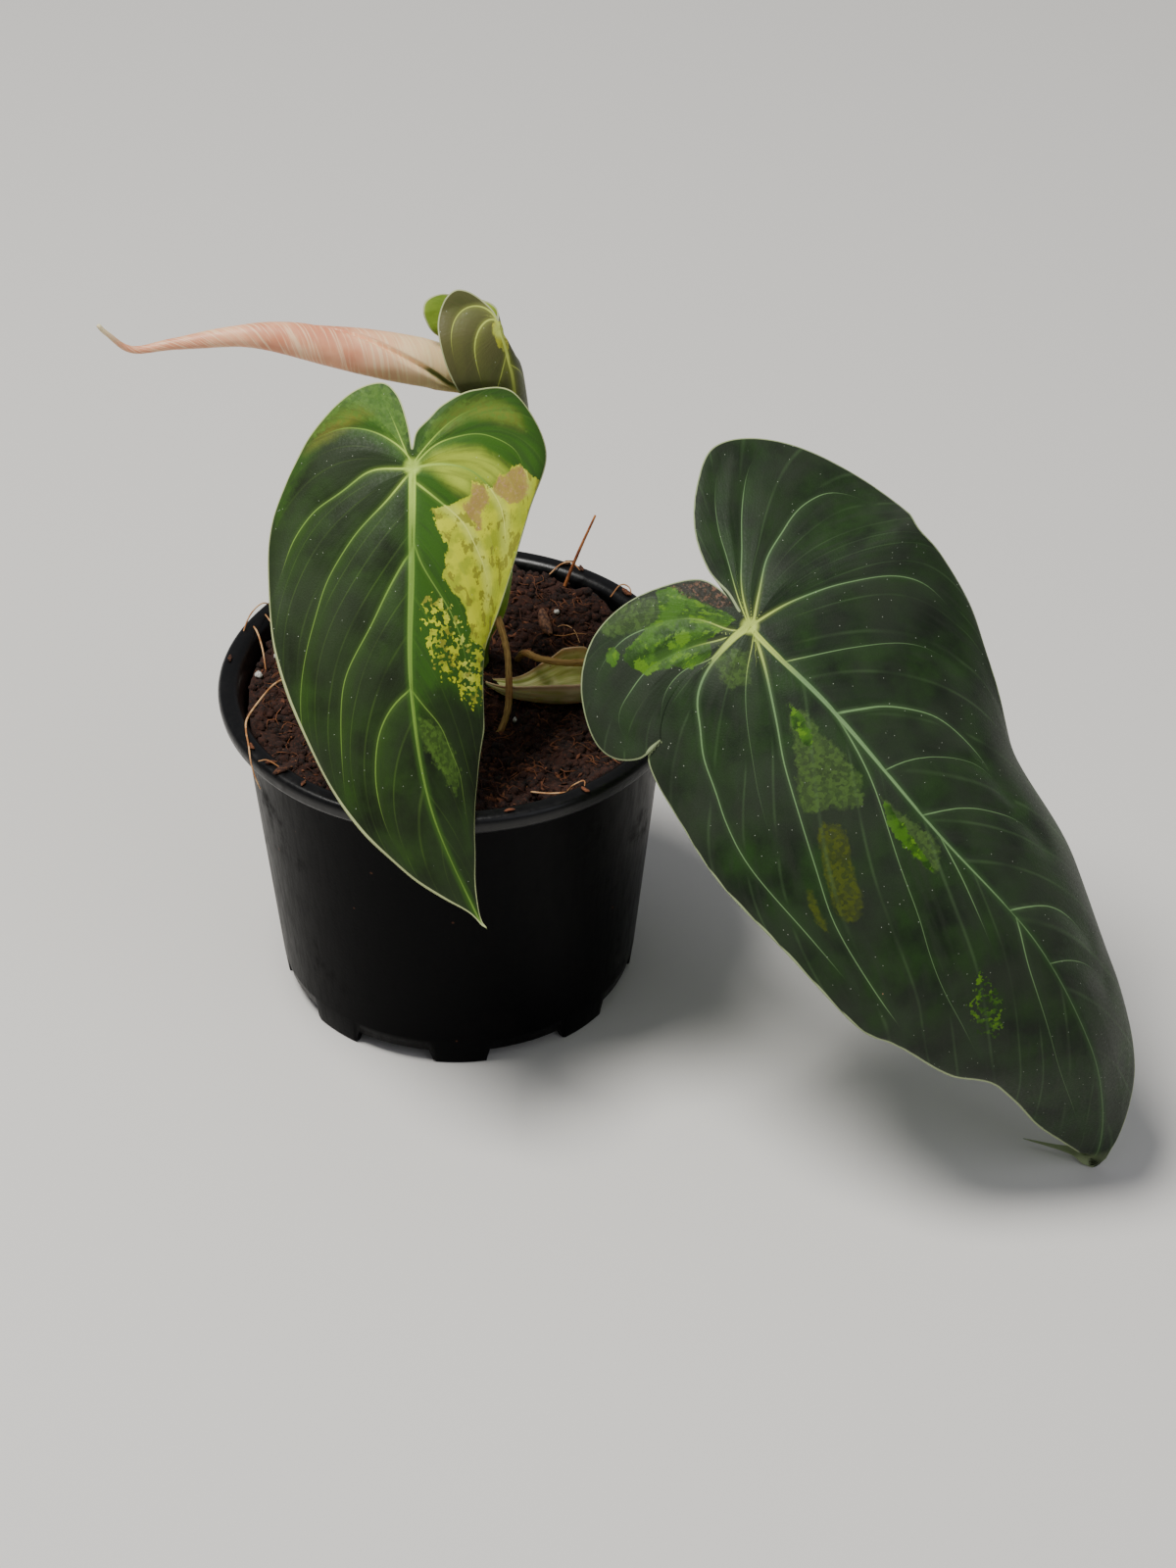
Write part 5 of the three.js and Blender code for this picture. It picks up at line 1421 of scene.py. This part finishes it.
    def threads(self, strength):
        """Hair-fine veins between the others, which sway a little and come and go."""
        sway = self.times(self.math("SINE", self.times(self.course, 0.9)), 0.12)
        turn = self.math("FRACT", self.plus(self.times(self.course, 0.45), sway))
        thread = self.step(self.math("ABSOLUTE", self.minus(turn, 0.5)), 0.07, 0)
        seen = self.step(self.noise(22, self.spot, 2), 0.35, 0.65, 0.2 * strength, strength)
        clear = self.times(self.step(self.out, 8, 18), self.step(self.reach, 1.2, 2.6))
        tint = self.mix(0.6, self.tint["vein_side"], self.vein_tint)
        self.paint(tint, self.times(self.times(thread, seen), clear))

    def midrib(self, rib_half):
        """A pale line that narrows towards the tip, and the yellowish star at the junction."""
        gap = self.minus(self.math("ABSOLUTE", self.w), self.step(self.u, -5, 110, rib_half, 0.14))
        ahead = self.step(self.u, -2, 0)
        rib_tint = self.mix(self.step(self.out, 20, 3), self.tint["vein"], self.tint["star"])
        rib = self.times(self.step(gap, 0.2, -0.1), ahead)
        self.lay("vein_side", self.times(self.step(gap, 1.4, 0, 0, 0.5), ahead))
        self.paint(rib_tint, self.times(rib, self.step(self.u, 40, 170, 0.95, 0.5)))
        self.paint(rib_tint, self.step(self.field("trunk"), 0.25, -0.25))
        self.lay("star", self.step(self.out, 2.8, 1))

    def weather(self):
        """Dust and a few brown specks, and the roughness and fine relief of the skin."""
        brown = self.specks(10, self.flat(shift=(3, 5, 0)), 0.26, 0.12)
        self.paint(0xc9cfbd, self.times(self.specks(1.7, self.spot, 0.12, 0.5), 0.6))
        self.paint(0xa8805f, self.times(brown, 0.8))
        self.wear("Roughness", self.step(self.noise(0.8, self.spot, 3), 0.3, 0.7, 0.46, 0.6))
        self.bump(self.plus(self.noise(0.5, self.spot, 3, 0.6), self.times(self.streak, 1.5)), 0.06)

    def underside(self):
        """Paler than the top, with paler veins and midrib."""
        rib = self.step(self.math("ABSOLUTE", self.w), 1.6, 0.9)
        below = self.mix(self.step(self.cloud, 0.3, 0.7), self.tint["under"], self.tint["under_pale"])
        below = self.mix(self.times(self.line, self.step(self.width, 0.02, 0.2)), below, tone(0xa7b783))
        below = self.mix(rib, below, tone(0xa7b783))
        self.paint(below, self.step(self.field("under"), 0.4, 0.6))

    def hem(self, dry):
        """A thin pale edge, wider on one side, and a dry tip past dry along the midrib."""
        wide = self.times(self.step(self.u, 25, 55, 0, 0.3), self.step(self.w, 0, -8))
        edge = self.step(self.minus(self.edge, wide), 0.42, 0.22)
        self.lay("hem", self.math("MAXIMUM", edge, self.step(self.u, dry, dry + 8)))


# In these tint tables the grey tint is both the colour of fine streaks and a painted sheen: grey patches over
# the tissue and a grey band along the edge.
velvet = BladeFinish("velvet_green", dict(
    dark=0x121a0f, mid=0x203a14, grey=0x2b3126, pale=0x46602a, olive=0x454f12,
    lime=0x1f3d08, lime_deep=0x3c6410, lime_pale=0x4a6e28, spot=0x557d14, rust=0x1f1b10, rust_pale=0x6e4d3a,
    vein=0x70905f, vein_side=0x2f4c25, star=0xb8cb5e, hem=0x95a278, under=0x526b33, under_pale=0x6c8548,
), rib_half=0.62, gloss=0.16, sheen=0.09, threads=0.2, dry=184)
sunny = BladeFinish("lime_and_green", dict(
    dark=0x161c0e, mid=0x2a4218, grey=0x2b3721, green=0x3a621a, amber=0x8f8634, glow=0xb0c040, pale=0x55772b,
    lime=0xc9d02a, lime_deep=0xa4b02c, lime_pale=0xdde56c, spot=0x84842f, rust=0xa3864a, rust_pale=0xb28a66,
    vein=0x789a40, vein_side=0x426a1e, star=0xb2d058, hem=0xb4bd86, under=0x5f7a36, under_pale=0x7b9448,
), rib_half=0.9, gloss=0.15, sheen=0.02, threads=0.2)
bronze = BladeFinish("olive_bronze", dict(
    dark=0x394320, mid=0x525a2a, grey=0x5a5634,
    lime=0xb9b73a, lime_deep=0xa3a52c, lime_pale=0xd2d77c, spot=0x8a8a30,
    vein=0xa1ac48, vein_side=0x77822e, star=0xb9c65c, hem=0xaab083, under=0x6f8a2c, under_pale=0x8ea238,
), rib_half=0.4, gloss=0.2, sheen=0.02, threads=0)

right_form = Blade(RIGHT_STATIONS, RIGHT_RIBS, wave=(0.6, 6))
front_form = Blade(FRONT_STATIONS, FRONT_RIBS, wave=(0.7, 5))
small_form = Blade(SMALL_STATIONS, SMALL_RIBS, wave=(0.3, 4))
big_blade = blade_mesh("big_right_blade", right_form, velvet, RIGHT_VEINS, RIGHT_MARKS,
                       rows=280, columns=58, midrib=1.2, quilt=0.7, trunk=RIGHT_TRUNK)
front_blade = blade_mesh("front_blade", front_form, sunny, FRONT_VEINS, FRONT_MARKS,
                         rows=230, columns=50, midrib=0.9, quilt=0.75)
small_blade = blade_mesh("small_folded_blade", small_form, bronze, SMALL_VEINS, SMALL_MARKS,
                         rows=130, columns=36, midrib=0.5, quilt=0.3)
adopt(big_blade, "dark_blade", "blade_right")
adopt(front_blade, "green_blade", "blade_front")
adopt(small_blade, "green_blade", "blade_small")

# The new leaf
# The youngest leaf, still rolled round itself: thin, pink to peach with fine slanting veins, cream at its
# base and at its slender tip. A seam runs along it where the outer edge lies over the layer below.

ROLL_POINTS = [
    [5, 14.9, 169.5], [1.3, 14.5, 171.9], [-4.4, 14, 175], [-13.9, 12.5, 178.2], [-28, 10.5, 182.3],
    [-47, 8, 186.7], [-66, 5, 186.3], [-76.4, 3, 185.9], [-82, 1.5, 191.3], [-84, 1, 194],
]
ROLL_RADII = [3.2, 5.2, 5.6, 5.6, 5.3, 4.7, 4, 3.2, 2.4, 2, 1.4, 1, 0.7, 0.5]
ROLL_SIDES = 96
ROLL_STEPS = 200
ROLL_BLUNT = 0.8
# The rolled outline: shares of the way round, and how far out the edge and the layer below it lie there.
LAP_SHARES = [0, 0.9, 0.94, 0.955, 0.97, 0.985, 1]
LAP_REACH = [1, 1.13, 1.12, 1.05, 0.8, 0.85, 0.97]
# The seam's angle at shares of the way along.
SEAM_SHARES = [0, 0.18, 1]
SEAM_ANGLES = [150, 208, 480]
NEW_STALK_POINTS = [[9, 20, 151], [8.8, 18.5, 160], [7.6, 16.2, 166], [3.4, 15, 170.6]]
NEW_STALK_RADII = [3.1, 2.5, 2.4, 2.2]

blush = Finish("blushing_new_leaf", Roughness=0.45, Subsurface_Weight=0.1, Subsurface_Scale=0.002)
flat = blush.flat()
lengthwise = blush.put("SeparateXYZ", {0: flat}, 0)
slant = {"Vector": flat, "Rotation": (0, 0, 1.1), "Scale": (16, 0.8, 1)}
slant = blush.put("Mapping", slant, vector_type="TEXTURE")
thread = blush.noise(1, slant, 2, 0.5)
blush.paint(0xd88a66)
blush.paint(0xf3b58c, blush.step(blush.noise(14, blush.place(), 3), 0.35, 0.65))
blush.paint(0xfbe0b4, blush.step(thread, 0.48, 0.62, 0, 0.6))
blush.paint(0xf8e2ac, blush.step(lengthwise, 34, 8, 0, 0.75))
blush.paint(0xe9e2b4, blush.step(lengthwise, 86, 98, 0, 0.9))
blush.paint(0x6f7a35, blush.step(blush.field("slit"), 0.4, 0.9, 0, 0.9))
blush.bump(thread, 0.12)


def rolled_leaf():
    def lapped(t, angle):
        return np.interp(angle / angle[-1], LAP_SHARES, LAP_REACH)

    def seam(t):
        return math.radians(np.interp(t, SEAM_SHARES, SEAM_ANGLES))

    points, faces, flat = tube(ROLL_POINTS, ROLL_RADII, ROLL_SIDES, ROLL_STEPS, lapped, seam, ROLL_BLUNT)
    share = np.tile(np.arange(ROLL_SIDES) / (ROLL_SIDES - 1), ROLL_STEPS + 1)
    reach = np.repeat(np.linspace(0, 1, ROLL_STEPS + 1), ROLL_SIDES)
    slit = np.interp(share, [0, 0.95, 0.965, 1], [0, 0, 1, 1]) * np.interp(reach, [0.12, 0.17], [1, 0])
    return build("rolled_new_leaf", points, faces, blush, flat, slit=np.r_[slit, 0, 0])


adopt(rolled_leaf(), "new_growth", "blade_new")
new_stalk = shoot("petiole_new_stalk", young, NEW_STALK_POINTS, NEW_STALK_RADII, 32, 90)
adopt(new_stalk, "new_growth", "petiole_new")

# The setting
# A plain pale floor under a pale even sky, a large soft lamp overhead with a weak one at the right, and a
# long lens from above. Places and sizes in this section are in metres, apart from the floor's.

FLOOR_REACH = 4000
FLOOR_CORNERS = [(-1, -1, 0), (1, -1, 0), (1, 1, 0), (-1, 1, 0)]
SKY_STRENGTH = 0.3
LAMP_TARGET = (0.03, -0.03, 0.09)
CAMERA_PLACE = (0.0341, -0.9858, 0.805)
CAMERA_TILT = 52.77

pale = Finish("pale_floor", Roughness=0.8)
pale.paint(0xdedcd8)
floor = build("floor", np.array(FLOOR_CORNERS) * FLOOR_REACH, [(0, 1, 2, 3)], pale)

world = bpy.data.worlds.new("studio")
bpy.context.scene.world = world
world.use_nodes = True
sky = world.node_tree.nodes["Background"]
sky.inputs["Color"].default_value = tone(0xe6e8ee)
sky.inputs["Strength"].default_value = SKY_STRENGTH


def lamp(name, where, size, power, tint):
    """A round soft lamp that shines at the middle of the plant."""
    light = bpy.data.lights.new(name, "AREA")
    light.shape = "DISK"
    light.size = size
    light.energy = power
    light.color = tone(tint)[:3]
    stand = placed(name, light)
    stand.location = where
    aim = np.array(LAMP_TARGET) - np.array(where)
    away = math.hypot(aim[0], aim[1])
    stand.rotation_euler = (math.atan2(away, -aim[2]), 0, math.atan2(-aim[0], aim[1]))


lamp("key_softbox", (-0.45, -0.15, 1.5), 0.6, 30, 0xfffdf8)
lamp("fill_softbox", (0.9, -0.9, 1.1), 1.2, 4, 0xf4f6ff)

view = bpy.data.cameras.new("camera")
view.lens = 110
view.sensor_width = 36
view.clip_start = 0.05
view.clip_end = 20
camera = placed("camera", view)
camera.location = CAMERA_PLACE
camera.rotation_euler = (math.radians(CAMERA_TILT), 0, 0)
bpy.context.scene.camera = camera
